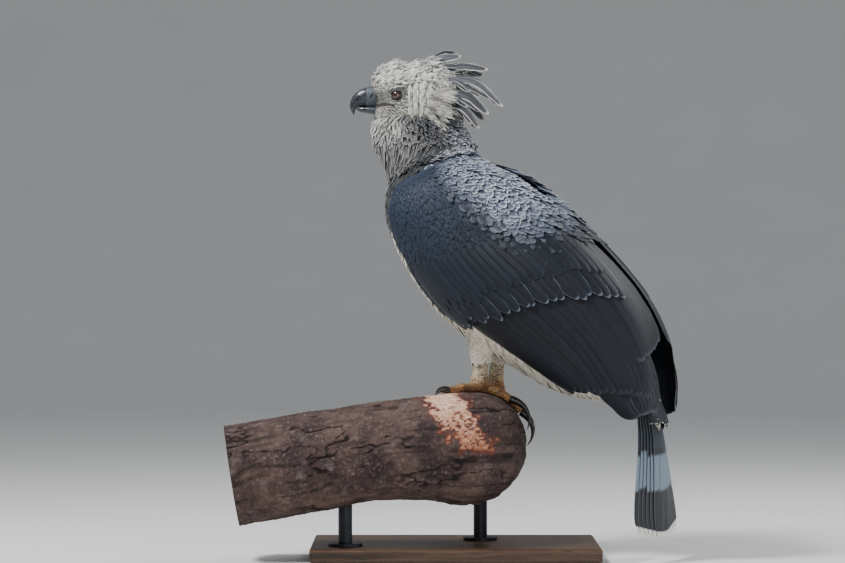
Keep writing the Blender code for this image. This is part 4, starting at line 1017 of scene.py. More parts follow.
# height of the mouth line at x, a shallow arch between its two ends
def mouthLine(x):
    (x0, z0), (x1, z1) = mouth["start"], mouth["end"]
    s = np.clip((x - x0) / (x1 - x0), 0, 1)
    return z0 + (z1 - z0) * s + mouth["sag"] * np.sin(np.pi * s)


# the lores lie back from the forehead round the bill's root: how far x moves there
def loresDent(p):
    return 0.008 * np.exp(-(((p[..., 2] + 0.002) / 0.0175) ** 2)) * ramp(-p[..., 0], 0.046, 0.068)


# folds behind the eye: a wave along x, bent by noise, from -1 in a groove darkened as painted shade to 1 on
# a pale ridge
def foldWave(points):
    return np.sin((points[..., 0] - headCentre[0]) / 0.00165 + 2.4 * softNoise(points, 0.022, 63))


# Tufts of the head: points along each one, how it is cupped, turned, bent down, frayed and edged
tufts = {
    "short": {"rows": 5, "cup": 0.3, "lean": 0.25, "bend": 0.75, "ragged": 0.0, "fringe": 0.5},
    "loose": {"rows": 6, "cup": 0.45, "lean": 0.4, "bend": 0.35, "ragged": 0.15, "fringe": 0.6},
    "fold": {"rows": 6, "cup": 0.35, "lean": 0.25, "bend": 0.75, "ragged": 0.15, "fringe": 0.45},
    "sink": 0.0012, "thick": 0.0004, "outline": (0.7, 0.25, 0.25, 1.4),
    "grid": ((0.35, 8.9), (-180, 180), 62, 84, 0.45), "looseCount": 1050, "foldCount": 620,
}


# tufts rooted at points of the head with their normals, which rise by 'lift' of their length and bend
def headTufts(kind, root, normal, direction, length, half, lift, tint, place):
    look = tufts[kind]
    s = tipStations(look["rows"])
    bend = np.asarray(lift) * look["bend"]
    paths = straightPaths(root, normal, direction, length, s, tufts["sink"], lift, bend)
    part = vanes(paths, half, s, tufts["outline"], tufts["thick"], look["cup"],
                 random.normal(0, look["lean"], len(root)), ragged=look["ragged"])
    return dressed(part, tint, look["fringe"], length, (place[0] / 9.2, (place[1] + 180) / 360))


# Base coat: about five thousand small tufts, shortest by the bill and round the eyes
def shortTufts():
    u, degrees = brickGrid(*tufts["grid"])
    root, normal = surfaceFrame(headPoint, u, degrees, np.zeros(u.shape))
    p = root - headCentre
    side = np.sign(p[:, 1])
    fromEye = p - np.array(eye["place"]) * np.stack([np.ones(len(p)), side, np.ones(len(p))], -1)
    gap = np.linalg.norm(fromEye * [1, 0.35, 1], axis=1)
    border = random.normal(0, 0.0016, len(p))  # so that the feathers end unevenly on the bill
    onBill = (p[:, 0] < -0.06 + border) & (p[:, 2] < 0.0205 + border) & (p[:, 2] > -0.031)
    onBill &= np.abs(p[:, 1]) < 0.019
    onMouth = (np.abs(p[:, 2] - mouthLine(p[:, 0])) < 0.0013) & (p[:, 0] < -0.035)
    tilt = math.radians(eye["tilt"])
    backward = fromEye[:, 0] * math.cos(tilt) + fromEye[:, 2] * math.sin(tilt)
    upward = fromEye[:, 2] * math.cos(tilt) - fromEye[:, 0] * math.sin(tilt)
    almond = np.hypot(backward / 1.45, upward / 0.92)
    keep = (almond > 0.008) & ~onBill & ~onMouth
    root, normal, p, side, fromEye, gap, u, degrees, almond, upward = (
        values[keep] for values in (root, normal, p, side, fromEye, gap, u, degrees, almond, upward))
    root[:, 0] += loresDent(p)
    count, (x, _, z) = len(p), p.T
    crown = ramp(normal[:, 2], 0.15, 0.75)
    back = ramp(x, -0.06, 0.05)
    low = ramp(-z, 0.0, 0.05)
    fall = ramp(x, -0.012, 0.012) * ramp(np.abs(normal[:, 1]), 0.45, 0.8) * ramp(z, -0.03, 0.0)
    direction = np.stack([1 - 0.55 * fall, side * 0.1, 0.25 * crown - 0.75 * low - 1.1 * fall], -1)
    direction += fromEye / gap[:, None] * (np.exp(-gap / 0.014) * 1.6)[:, None]
    direction += random.normal(0, 0.16, direction.shape)
    length = 0.006 + 0.0075 * back + 0.009 * crown * back + 0.005 * low * back + 0.004 * crown
    length *= np.interp(gap, [0.011, 0.026], [0.45, 1.0]) * random.uniform(0.75, 1.3, count)
    length *= 1 - 0.35 * ramp(loresDent(p), 0.001, 0.006)
    half = np.clip(0.1 * length + 0.0009, 0.0012, 0.003) * random.uniform(0.8, 1.2, count)
    lift = 0.16 + 0.22 * crown * random.random(count) + 0.08 * random.random(count)
    # cheek: smooth short feathers that lie flat, below and behind the eye
    cheek = ramp(x, -0.056, -0.04) * ramp(x, 0.024, 0.006) * ramp(z, 0.002, -0.012)
    length, half, lift = length * (1 - 0.25 * cheek), half * (1 - 0.25 * cheek), lift * (1 - 0.6 * cheek)
    tone = random.random(count)
    grooved = ramp(x, -0.012, -0.004) * ramp(x, 0.042, 0.032) * ramp(z, -0.034, -0.02)
    rows = layered(
        # painted shade in the grooves between the folds behind the eye
        headColour(root), ("streak", grooved * ramp(-foldWave(root), 0.0, 0.6) * 0.9),
        ("lores", (tone > 0.8) * 0.6 * (1 - cheek)), ("cheek", 0.7 * cheek),
        # dark skin-like ring of the shortest tufts round the eye, and the shade under the brow
        ("bandDark", ramp(almond, 0.0112, 0.0088) * 0.85),
        ("lores", ramp(almond, 0.02, 0.011) * ramp(upward, 0.002, 0.007) * 0.7))
    return headTufts("short", root, normal, direction, length, half, lift, rows, (u, degrees))


# loose tufts that stand up over forehead and crown, in clumps, highest at the brow and the hind crown,
# darker between the clumps as painted shade
def looseTufts():
    count = tufts["looseCount"]
    u, degrees = random.uniform(0.9, 7.6, count), random.uniform(22, 158, count)
    root, normal = surfaceFrame(headPoint, u, degrees, np.zeros(count))
    p = root - headCentre
    clump = softNoise(p, 0.011, 61)
    keep = (clump > -0.25) & ((p[:, 0] > -0.064) | (p[:, 2] > 0.024))
    root, normal, p, clump, u, degrees = (values[keep] for values in (root, normal, p, clump, u, degrees))
    count, x = len(p), p[:, 0]
    back = ramp(x, -0.06, 0.05)
    direction = np.stack([np.ones(count), np.sign(p[:, 1]) * 0.25, np.full(count, 0.15)], -1)
    direction += random.normal(0, 0.3, (count, 3))
    direction[:, 1] += softNoise(p, 0.01, 62) * 0.8
    length = (0.01 + 0.007 * back) * random.uniform(0.7, 1.35, count)
    peak = np.exp(-(((x + 0.036) / 0.015) ** 2)) + 0.9 * np.exp(-(((x - 0.021) / 0.012) ** 2))
    lift = 0.22 + 0.4 * random.random(count) + 0.2 * clump.clip(0) + 0.45 * peak * random.random(count)
    tint = blendColours("crown", "neck", random.random(count) * 0.6)
    # painted shade: tufts between the clumps darkened
    tint = mixRows(tint, "streak", ramp(-clump, -0.15, 0.2) * 0.75)
    half = random.uniform(0.0016, 0.003, count)
    return headTufts("loose", root, normal, direction, length, half, lift, tint, (u, degrees))


# folds of longer feathers that hang from the crown behind an eye, darkened over the grooves as painted
# shade
def foldTufts(side):
    count, step = tufts["foldCount"], 0.001
    x, z = random.uniform(-0.008, 0.038, count), random.uniform(-0.024, 0.054, count)
    y = headSide(x, z, 0.0)
    x, y, z = (values[y > 0.012] for values in (x, y, z))
    count = len(x)
    slopeX = (headSide(x + step, z, 0.0) - headSide(x - step, z, 0.0)) / (2 * step)
    slopeZ = (headSide(x, z + step, 0.0) - headSide(x, z - step, 0.0)) / (2 * step)
    normal = unit(np.stack([-slopeX, side * np.ones(count), -slopeZ], -1))
    root = np.stack([x, side * y, z], -1) + headCentre
    fan = ramp(x, 0.0, 0.04)
    direction = np.stack([0.12 + 0.7 * fan**2, 0 * x, -1.0 + 0.3 * fan], -1)
    direction += random.normal(0, 0.09, (count, 3))
    fold = foldWave(root)
    shown = (fold > -0.15) | (random.random(count) < 0.15)  # few feathers over the dark grooves
    x, z, root, normal, direction, fold = (
        values[shown] for values in (x, z, root, normal, direction, fold))
    count = len(x)
    length = random.uniform(0.012, 0.02, count)
    tint = blendColours("cheek", "crown", random.random(count))
    # painted shade: darker over the grooves between the folds
    tint = mixRows(tint, "streak", ramp(-fold, 0.0, 0.5) * 0.9)
    half = random.uniform(0.0012, 0.0021, count)
    place = (5 + x / 0.02, side * 60 + 90 + z * 900)
    return headTufts("fold", root, normal, direction, length, half, 0.2 + 0.13 * fold, tint, place)


joinVanes("headCoat", [shortTufts()], headFeather, "head_feathers")
crownParts = [looseTufts()] + [foldTufts(side) for side, _ in bothSides]
joinVanes("crownCoat", crownParts, headFeather, "head_feathers")

# Crest: root, middle, tip and half width of its long feathers from the head's middle. 'shift' is how
# far the hidden side's differ, 'moved' how far the thinner ones beside them do at root and beyond.
crest = {
    "feathers": [
        ((0.02, 0.01, 0.058), (0.052, 0.016, 0.071), (0.084, 0.02, 0.0735), 0.009),
        ((0.036, 0.022, 0.052), (0.086, 0.03, 0.056), (0.132, 0.034, 0.049), 0.0095),
        ((0.044, 0.034, 0.03), (0.104, 0.042, 0.029), (0.159, 0.046, -0.0175), 0.0095),
        ((0.046, 0.04, 0.01), (0.092, 0.048, 0.004), (0.133, 0.052, -0.0315), 0.0105),
        ((0.048, 0.036, -0.012), (0.088, 0.05, -0.018), (0.117, 0.05, -0.056), 0.0125),
    ],
    "shift": 0.006, "thick": 0.001, "cup": 0.25, "beside": 4, "moved": (0.004, 0.005),
}


# each long feather of the crest with four thinner ones beside it, all on curves through three points
def makeCrest():
    centres, normals, halves = [], [], []
    s = tipStations(16)
    for side, _ in bothSides:
        for i, (root, middle, tip, half) in enumerate(crest["feathers"]):
            knots = np.array([root, middle, tip]) * [1, side, 1]
            if side > 0:
                knots[1:, 2] += crest["shift"] * (1 - 2 * (i % 2))
                knots[2, 0] -= crest["shift"]
            for extra in range(crest["beside"] + 1):
                moved = knots.copy()
                if extra:
                    moved[1:] += random.normal(0, crest["moved"][1], (2, 3))
                    moved[0] += random.normal(0, crest["moved"][0], 3)
                    moved[1:, 1] -= side * random.uniform(-0.004, 0.008)
                    moved[1:] = moved[0] + (moved[1:] - moved[0]) * random.uniform(0.42, 0.86)
                centres.append(smoothCurve((0.0, 0.45, 1.0), moved, s) + headCentre)
                normals.append(unit(np.array([0.25, side * 0.8, 0.55]) + random.normal(0, 0.12, 3)))
                halves.append(half * (random.uniform(0.5, 0.75) if extra else 0.98))
    centre = np.stack(centres)
    normal = np.broadcast_to(np.stack(normals)[:, None], centre.shape)
    count = len(centre)
    part = vanes((centre, normal), np.array(halves), s, (0.45, 0.45, 0.55, 1.5),
                 crest["thick"], crest["cup"], across=5, ragged=0.22)
    length = pathLength(centre)
    tint = blendColours("crest", "streak", random.random(count))
    part = dressed(part, tint, 0.9, length, (np.linspace(0.02, 0.98, count), 0.5), 0.02)
    joinVanes("crestCoat", [part], crestFeather, "head_feathers")


makeCrest()

# Ruff: angles in degrees about each cheek; 'from' and 'by' give the rows' radii along x and z
ruff = {
    "rows": 7, "count": 46, "angles": (-108, 24), "middle": (0.004, -0.006), "from": (0.02, 0.024),
    "by": (0.026, 0.027), "length": 0.022, "half": 0.0018, "thick": 0.0005, "spread": 0.0585,
    "bulge": 0.0045,
}


# one row of narrow vanes behind and under a cheek, of which the outer rows lift off the neck
def ruffRow(side, row):
    count, outer = ruff["count"], row / (ruff["rows"] - 1)
    angle = np.radians(np.linspace(*ruff["angles"], count) + random.normal(0, 2.0, count))
    reachX, reachZ = (start + grow * outer for start, grow in zip(ruff["from"], ruff["by"]))
    x, z = ruff["middle"][0] + reachX * np.cos(angle), ruff["middle"][1] + reachZ * np.sin(angle)
    length = ruff["length"] * random.uniform(0.8, 1.2, count) * (0.75 + 0.45 * outer)
    lie = angle * 0.72 - 0.22 + random.normal(0, 0.08, count)
    root = np.stack([x, side * headSide(x, z, -0.002), z], -1)
    away = ruff["spread"] * (0.86 + 0.14 * outer) + random.normal(0, 0.0012, count)
    tipX, tipZ = x + length * np.cos(lie), z + length * np.sin(lie)
    level = np.maximum(headSide(tipX, tipZ, 0.002), away * (1 - 0.1 * (1 - outer)))
    tip = np.stack([tipX, side * level, tipZ], -1)
    middle = (root + tip) / 2 + np.array([0, side * ruff["bulge"], 0])
    s = tipStations(7)
    centre = smoothCurve((0.0, 0.5, 1.0), np.stack([root, middle, tip]), s).transpose(1, 0, 2) + headCentre
    normal = np.broadcast_to(unit(np.array([0.1, side, 0.1])), centre.shape)
    half = ruff["half"] * random.uniform(0.75, 1.25, count) * (1 + 0.2 * outer)
    part = vanes((centre, normal), half, s, (0.6, 0.3, 0.4, 1.5), ruff["thick"], 0.35,
                 random.normal(0, 0.15, count), ragged=0.2)
    # painted shade: darker creases between the ruff's folds
    fold = ramp(np.sin(angle * 11 + 0.4 * row), 0.1, 0.8)
    rows = mixRows(blendColours("face", "cheek", random.random(count)), "lores", 0.8 * fold)
    tint = mixRows(rows, "streak", (random.random(count) > 0.82) * 0.6 * outer)
    place = (np.linspace(0.02, 0.98, count), 0.5 + side * (0.05 + 0.07 * row))
    return dressed(part, tint, 0.3, length, place, 0.006)


ruffParts = [ruffRow(side, row) for side, _ in bothSides for row in range(ruff["rows"])]
joinVanes("ruffCoat", ruffParts, headFeather, "head_feathers")


# Thighs: white down in rows, pointing down to the bare legs
def makeThigh(side, word):
    v, degrees = brickGrid(*coats["thigh"]["grid"])
    part, length = layCoat(coats["thigh"], partial(thighPoint, side=side), v, degrees)
    tint = blendColours("white", "whiteShade", random.random(len(v)) * 0.6)
    part = dressed(part, tint, 0.3, length, (v / 4.8 + 0.05, (degrees + 180) / 360))
    joinVanes("thighCoat_" + word, [part], thighFeather, "thigh_feathers")


for sideSign, sideName in bothSides:
    makeThigh(sideSign, sideName)
print("coats")


# a mesh's points and triangles as arrays, after which it is removed
def meshArrays(mesh):
    mesh.calc_loop_triangles()
    points = np.empty(len(mesh.vertices) * 3, np.float32)
    mesh.vertices.foreach_get("co", points)
    faces = np.empty(len(mesh.loop_triangles) * 3, np.int32)
    mesh.loop_triangles.foreach_get("vertices", faces)
    bpy.data.meshes.remove(mesh)
    return points.reshape(-1, 3).astype(float), faces.reshape(-1, 3)


# Closed shells as one smooth surface: a voxel remesh of all of them, softened, as points and triangles
def remeshed(shells, voxel, softening):
    points, faces, start = [], [], 0
    for shellPoints, shellFaces in shells:
        points.append(np.asarray(shellPoints, float).reshape(-1, 3))
        faces.append(np.asarray(shellFaces) + start)
        start += len(points[-1])
    mesh = bpy.data.meshes.new("shells")
    mesh.from_pydata(np.concatenate(points).tolist(), [], np.concatenate(faces).tolist())
    obj = bpy.data.objects.new("shells", mesh)
    bpy.context.scene.collection.objects.link(obj)
    remesh = obj.modifiers.new("remesh", "REMESH")
    remesh.mode, remesh.voxel_size = "VOXEL", voxel
    smooth = obj.modifiers.new("smooth", "SMOOTH")
    smooth.factor, smooth.iterations = 0.5, softening
    made = bpy.data.meshes.new_from_object(obj.evaluated_get(bpy.context.evaluated_depsgraph_get()))
    bpy.data.objects.remove(obj)
    return meshArrays(made)


# points turned in side view, the front end down by a slope in degrees
def sloped(points, degrees):
    x, y, z = np.moveaxis(points, -1, 0)
    cos, sin = math.cos(math.radians(degrees)), math.sin(math.radians(degrees))
    return np.stack([x * cos - z * sin, y, z * cos + x * sin], -1)


# an egg-shaped shell: radii along x, y and z, turned in side view by a slope in degrees
def eggShell(centre, size, slope, rings=14, sides=20):
    polar = np.linspace(0.02, np.pi - 0.02, rings)[:, None]
    angle = fullTurn(sides)[None]
    sin, cos = np.sin(polar), np.cos(polar)
    ball = np.stack([sin * np.cos(angle), sin * np.sin(angle), cos + 0 * angle], -1)
    return shellOf(sloped(ball * np.array(size), slope) + centre)


# colour of the nearest sample for each point, from squared distances in blocks
def nearestColour(points, samples, colours):
    found = np.empty(len(points), int)
    square = (samples**2).sum(1)
    for first in range(0, len(points), 4000):
        block = points[first : first + 4000]
        found[first : first + 4000] = np.argmin(square - 2 * block @ samples.T, axis=1)
    return colours[found]


brow = {"place": (-0.03, 0.044, 0.015), "size": (0.0175, 0.008, 0.0048), "slope": 14.0,
        "count": 120, "length": (0.005, 0.009), "half": 0.0013}
# how far the skin lies under the coat; the wing's edges in degrees and its depth by station; the
# rump's rings as middle x and z, depth and width
skin = {
    "torso": -0.006, "neck": -0.004, "head": -0.002, "thigh": -0.004, "wing": -0.007,
    "wingLow": [-18, -38, -52, -58, -56, -58, -60, -60, -60],
    "wingHigh": [36, 52, 68, 80, 84, 84, 84, 84, 84],
    "wingDeep": ([0, 3, 4.4, 5.3], [0.034, 0.034, 0.016, 0.008]),
    "rump": [(0.25, 0.405, 0.024, 0.028), (0.3, 0.325, 0.022, 0.032), (0.32, 0.27, 0.015, 0.03),
             (0.33, 0.232, 0.006, 0.022)],
    "voxel": 0.0034, "softening": 6,
}


# Skin: torso, neck, head, thighs, the wings' flesh and the rump as one surface under the coat
def makeSkin():
    down = lambda *limits: np.linspace(*limits)[:, None]
    around = np.linspace(0, 360, 48, endpoint=False)[None]
    shells, samples, colours = [], [], []

    # colours of a shell's points, or of the part of it that shows
    def keepSamples(points, rows):
        samples.append(points.reshape(-1, 3))
        colours.append(np.broadcast_to(rows, points.shape[:-1] + (4,)).reshape(-1, 4))

    # a shell that shows all round
    def keepShell(points, rows):
        shells.append(shellOf(points))
        keepSamples(points, rows)

    t, v = down(0.0, 6.2, 44), down(0.0, 5.0, 24)
    keepShell(torsoPoint(t, around, skin["torso"]), bodyColour(t + 0 * around, around + 0 * t))
    # painted shade: the neck's skin, seen between its feathers, is darkened with slate
    neckSkinShaded = mixRows(neckColour(v + 0 * around, around + 0 * v), "slateDark", 0.6)
    keepShell(neckPoint(v, around, skin["neck"]), neckSkinShaded)
    head = headPoint(down(0.0, 9.0, 40), around, skin["head"])
    head[..., 0] += loresDent(head - headCentre)
    # painted shade: the head's skin, seen between its tufts, is darkened with the dark streak colour
    keepShell(head, mixRows(headColour(head), "streak", 0.65))
    t, share = down(0.55, 5.3, 30), np.linspace(0, 1, 24)[None]
    low, high = (np.interp(t, np.arange(9), skin[key]) for key in ("wingLow", "wingHigh"))
    deep = skin["wing"] - np.interp(t, *skin["wingDeep"])
    for side, _ in bothSides:
        keepShell(thighPoint(down(0.0, 3.9, 14), around, skin["thigh"], side), colourOf["whiteShade"])
        outer = wingPoint(t, low * (1 - share) + high * share, skin["wing"], side)
        inner = wingPoint(t, high * (1 - share) + low * share, deep, side)
        shells.append(shellOf(np.concatenate([outer, inner], axis=1)))
        keepSamples(outer, blendColours("slate", "slateDark", ramp(t + 0 * share, 2.0, 4.0)))
        place = headCentre + np.array(brow["place"]) * [1, side, 1]
        shells.append(eggShell(place, brow["size"], brow["slope"]))
    cos, sin = np.cos(np.radians(around[0])), np.sin(np.radians(around[0]))
    rump = [np.stack([x + 0.9 * thick * sin, wide * cos, z + 0.44 * thick * sin], -1)
            for x, z, thick, wide in skin["rump"]]
    keepShell(onStand(np.stack(rump)), colourOf["slateDark"])
    points, faces = remeshed(shells, skin["voxel"], skin["softening"])
    obj = meshPiece("skin", points, faces, skinMaterial("downy_skin"), "body_feathers")
    addAttribute(obj, "tint", nearestColour(points, np.concatenate(samples), np.concatenate(colours)))
    paired = (f"{part}_{word}" for part in ("thigh", "wing") for _, word in bothSides)
    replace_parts(obj, "torso", "neck", "head", "tail", *paired)
    print("skin", len(faces), "triangles")


makeSkin()


# Eye: glass-clear cornea over a red-brown iris with fine spokes and a round black pupil
def eyeMaterial():
    material, add = newMaterial("eye_cornea", Roughness=0.22, Coat_Weight=1.0, Coat_Roughness=0.02)
    polar = add("Attribute", out=2, attribute_name="polar")
    turn = add("Attribute", out=2, attribute_name="turn")
    spokes = add("TexNoise", {"Vector": add("CombineXYZ", [turn, polar, 0.0]), "Scale": 9.0, "Detail": 4.0})
    shade = add("MapRange", [spokes, 0.3, 0.7])
    rim = add("MapRange", [polar, eye["iris"] - 0.09, eye["iris"] + 0.02])
    pupil = add("MapRange", [polar, eye["pupil"] - 0.02, eye["pupil"] + 0.01, 1.0, 0.0])
    colour = "#2b130c"
    for layer, over in ((shade, "#653123"), (rim, "#1d0f0a"), (pupil, "#030303")):
        colour = add("Mix", {0: layer, 6: colour, 7: over})
    return setShader(material, Base_Color=colour)


# the three directions of an eye: where it looks, backwards along the head, and up
def eyeAxes(side):
    look = unit(np.array(eye["look"]) * [1, side, 1])
    back = unit(np.array([1.0, 0, 0]) - look * look[0])
    tilt = math.radians(eye["tilt"])
    up = np.array([0, 0, 1.0])
    up = unit(up - look * look[2] - back * back[2])
    return look, back * math.cos(tilt) + up * math.sin(tilt), up * math.cos(tilt) - back * math.sin(tilt)


# points round an eye: the angle from where it looks, the turn about that, the distance from its centre
def eyePoints(side, polar, turn, radius):
    look, back, up = eyeAxes(side)
    polar, turn, radius = polar[..., None], turn[..., None], radius[..., None]
    around = np.cos(turn) * back + np.sin(turn) * up
    return eyeCentre(side) + radius * (np.cos(polar) * look + np.sin(polar) * around)


# eyeball: a sphere with a low bulge over the iris, radius * (0.985 + 0.05 * exp(-(angle / 0.45)^2))
def makeEyeball(side, word, material):
    polar = np.linspace(0.01, np.pi - 0.01, 48)[:, None]
    turn = fullTurn(56)[None]
    radius = eye["radius"] * (0.985 + 0.05 * np.exp(-((polar / 0.45) ** 2))) + 0 * turn
    obj = tubePiece("eyeBall_" + word, eyePoints(side, polar, turn, radius), material, "eye_amber")
    addAttribute(obj, "polar", np.broadcast_to(polar, radius.shape).ravel())
    addAttribute(obj, "turn", np.broadcast_to(np.abs(turn - np.pi), radius.shape).ravel())
    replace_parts(obj, "eye_" + word)


# section of the lids: share of the way out from the opening, and height over the eyeball in mm
lids = {
    "profile": np.array([(0.0, 0.1), (0.02, 0.9), (0.08, 1.5), (0.16, 1.65), (0.22, 1.3), (0.28, 1.55),
                         (0.4, 1.3), (0.6, 0.6), (0.72, -1.2), (0.55, -2.0), (0.2, -1.2), (0.03, -0.5)]),
    "turns": 90, "points": 36, "outer": 1.55, "wrinkle": 0.00012,
}


# lids: a bead whose section rises from the eyeball, folds once and sinks under the feathers; the
# opening's half width is (|cos / wide|^p + |sin / high|^p)^(-1/p), with pointed corners for p below 2
def makeLids(side, word, material):
    turn = fullTurn(lids["turns"])[:, None]
    power, knots, count = eye["corner"], lids["profile"], lids["points"]
    rim = np.abs(np.cos(turn) / eye["wide"]) ** power + np.abs(np.sin(turn) / eye["high"]) ** power
    opening = np.arcsin(rim ** (-1 / power) / eye["radius"])
    at = np.linspace(0, len(knots), count, endpoint=False)
    fine = smoothCurve(np.arange(len(knots) + 1), np.concatenate([knots, knots[:1]]), at)
    polar = opening + fine[None, :, 0] * (lids["outer"] - opening)
    radius = eye["radius"] + 0.001 * fine[None, :, 1] * (1 + 0.25 * np.sin(turn).clip(0))
    points = eyePoints(side, polar, turn, radius).reshape(-1, 3)
    wrinkle = softNoise(points, 0.0012, 5) * lids["wrinkle"]
    points += unit(points - eyeCentre(side)) * wrinkle[:, None]
    faces = outwards(points, gridFaces(lids["turns"], count, bead=True))
    meshPiece("lids_" + word, points, faces, material, "head_feathers")


# bare skin of lids and gape: dark grey, leathery, faint sheen
def bareSkin(name, dark, pale):
    material, add = newMaterial(name, Roughness=0.5, Specular_IOR_Level=0.4)
    body = add("TexCoord")
    grain = add("TexNoise", {"Vector": body, "Scale": 700.0, "Detail": 4.0})  # pores about 1.4 mm
    colour = add("Mix", {0: grain, 6: dark, 7: pale})
    normal = add("Bump", {"Height": grain, "Strength": 0.5, "Distance": 0.0004})
    return setShader(material, Base_Color=colour, Normal=normal)


glass, lidSkin = eyeMaterial(), bareSkin("lid_skin", "#0c0b0d", "#2a282b")
for sideSign, sideName in bothSides:
    makeEyeball(sideSign, sideName, glass)
    makeLids(sideSign, sideName, lidSkin)

bill = {"rows": 110, "sides": 72, "cereEdge": -0.0835, "nostril": (-0.0744, 0.003, 0.0013, 0.0036, 0.0032)}
# bill sections from the head's middle: top x and z, edge x and z, half of the width
upperBill = np.array([
    (-0.064, 0.0222, -0.064, -0.015, 0.016),
    (-0.07, 0.0212, -0.07, -0.0154, 0.0158),
    (-0.0835, 0.0192, -0.0825, -0.0154, 0.0147),
    (-0.0965, 0.0142, -0.0937, -0.015, 0.0124),
    (-0.107, 0.005, -0.0998, -0.0162, 0.0092),
    (-0.1128, -0.0075, -0.1028, -0.0205, 0.006),
    (-0.1126, -0.019, -0.1046, -0.0248, 0.0035),
    (-0.107, -0.0298, -0.1058, -0.0303, 0.0006),
])
lowerBill = np.array([
    (-0.062, -0.015, -0.063, -0.029, 0.0132),
    (-0.068, -0.0148, -0.069, -0.0285, 0.0128),
    (-0.083, -0.0146, -0.082, -0.0272, 0.0108),
    (-0.0945, -0.015, -0.093, -0.0254, 0.0076),
    (-0.101, -0.0176, -0.1, -0.0222, 0.0036),
])


# horn of the bill: slate to black, glossy, with fine growth lines; the cere is duller and bluish; a pale
# line along the culmen's top is a painted highlight and the nostrils are painted near-black as shade
def billMaterial():
    material, add = newMaterial("bill_horn", Roughness=0.3, Specular_IOR_Level=0.5)
    body = add("TexCoord")
    long = add("Mapping", {"Vector": body, "Scale": (60.0, 260.0, 260.0)})
    streak = add("TexNoise", {"Vector": long, "Scale": 1.0, "Detail": 5.0})
    horn = add("MapRange", [streak, 0.35, 0.7])
    fine = add("TexNoise", {"Vector": body, "Scale": 500.0, "Detail": 3.0})
    wax = add("Mix", {0: fine, 6: "#272c33", 7: "#525b66"})
    culmenHighlight, cere, nostrilPitAndShade = (add("Attribute", out=2, attribute_name=key) for key in ("culmenHighlight", "cere", "nostrilPitAndShade"))
    colour = "#15171b"
    # painted highlight: a pale line along the culmen's top; painted shade: the nostrils near-black
    for layer, over in ((horn, "#3f454d"), (culmenHighlight, "#8d949b"), (cere, wax), (nostrilPitAndShade, "#050506")):
        colour = add("Mix", {0: layer, 6: colour, 7: over})
    rough = add("MapRange", [cere, 0.0, 1.0, 0.26, 0.5])
    height = add("Math", [streak, 0.6, fine])
    normal = add("Bump", {"Height": height, "Strength": 0.25, "Distance": 0.0005})
    return setShader(material, Base_Color=colour, Roughness=rough, Normal=normal)


# bill halves: superellipse sections along the curve, with cere step and nostril pits, a painted highlight
# along the culmen's top and painted shade in the nostrils
def makeBill():
    material = billMaterial()
    for upper, table, name, node in ((True, upperBill, "billUpper", "bill_upper"),
                                     (False, lowerBill, "billLower", "bill_lower")):
        at = np.linspace(0, len(table) - 1, bill["rows"])[:, None]
        degrees = np.linspace(0, 360, bill["sides"], endpoint=False)[None]
        row = tableCurve(table, at + 0 * degrees)
        rings = section(row, degrees + 0 * at, np.zeros(row.shape[:-1]), 0.8 if upper else 0.9)
        normal = unit(np.cross(np.gradient(rings, axis=0), np.gradient(rings, axis=1)))
        centre = rings.mean(axis=1, keepdims=True)
        normal *= np.sign(np.sum(normal * (rings - centre), -1, keepdims=True))
        x, z = rings[..., 0], rings[..., 2]
        cere = ramp(x, bill["cereEdge"] - 0.0008, bill["cereEdge"] + 0.0008) * (1.0 if upper else 0.6)
        spotX, spotZ, wide, tall, depth = bill["nostril"]
        dx, dz = x - spotX - 0.35 * (z - spotZ), z - spotZ
        shown = (np.abs(rings[..., 1]) > 0.006) * upper
        # nostril pits: dented in, and painted near-black as shade by the same mask
        nostrilPitAndShade = np.exp(-((dx / wide) ** 2) - (dz / tall) ** 2) * shown
        rim = np.exp(-((dx / wide / 2.2) ** 2) - (dz / tall / 1.5) ** 2) * shown
        # painted highlight: a pale line along the top of the upper bill, behind the cere
        culmenHighlight = ramp(np.sin(np.radians(degrees)), 0.93, 1.0) * (1 - cere) * upper
        groove = np.exp(-(((x - bill["cereEdge"] + 0.001) / 0.0008) ** 2)) * upper
        out = 0.0006 * cere - 0.0005 * groove + 0.0008 * rim - depth * nostrilPitAndShade ** 1.3
        out = out + 0.00012 * softNoise(rings, 0.002, 3)
        rings = rings + normal * out[..., None] + headCentre
        obj = tubePiece(name, rings, material, "bill_horn")
        addAttribute(obj, "cere", cere.ravel())
        addAttribute(obj, "nostrilPitAndShade", np.clip(nostrilPitAndShade * 1.8, 0, 1).ravel())
        addAttribute(obj, "culmenHighlight", (0.45 * culmenHighlight + 0 * x).ravel())
        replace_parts(obj, node)


makeBill()


# lips of the gape: height over the mouth line, distance from the skin, half width and which skin
gape = {
    # the dark skin on the mouth line is painted shade of the mouth's slit; on the upper lip it is the lip's
    # own dark grey
    "skins": {"dark": ("mouth_slit_shade_and_dark_lip", "#080707", "#1a1615"), "pale": ("gape_skin", "#565247", "#8d8672")},
    "lips": {"mouthLine": (0.0, 0.0002, 0.0009, "dark"), "lipUpper": (0.0011, -0.0003, 0.0008, "dark"),
             "lipLower": (-0.0013, -0.0003, 0.0009, "pale")},
    "points": 48, "sides": 12,
}


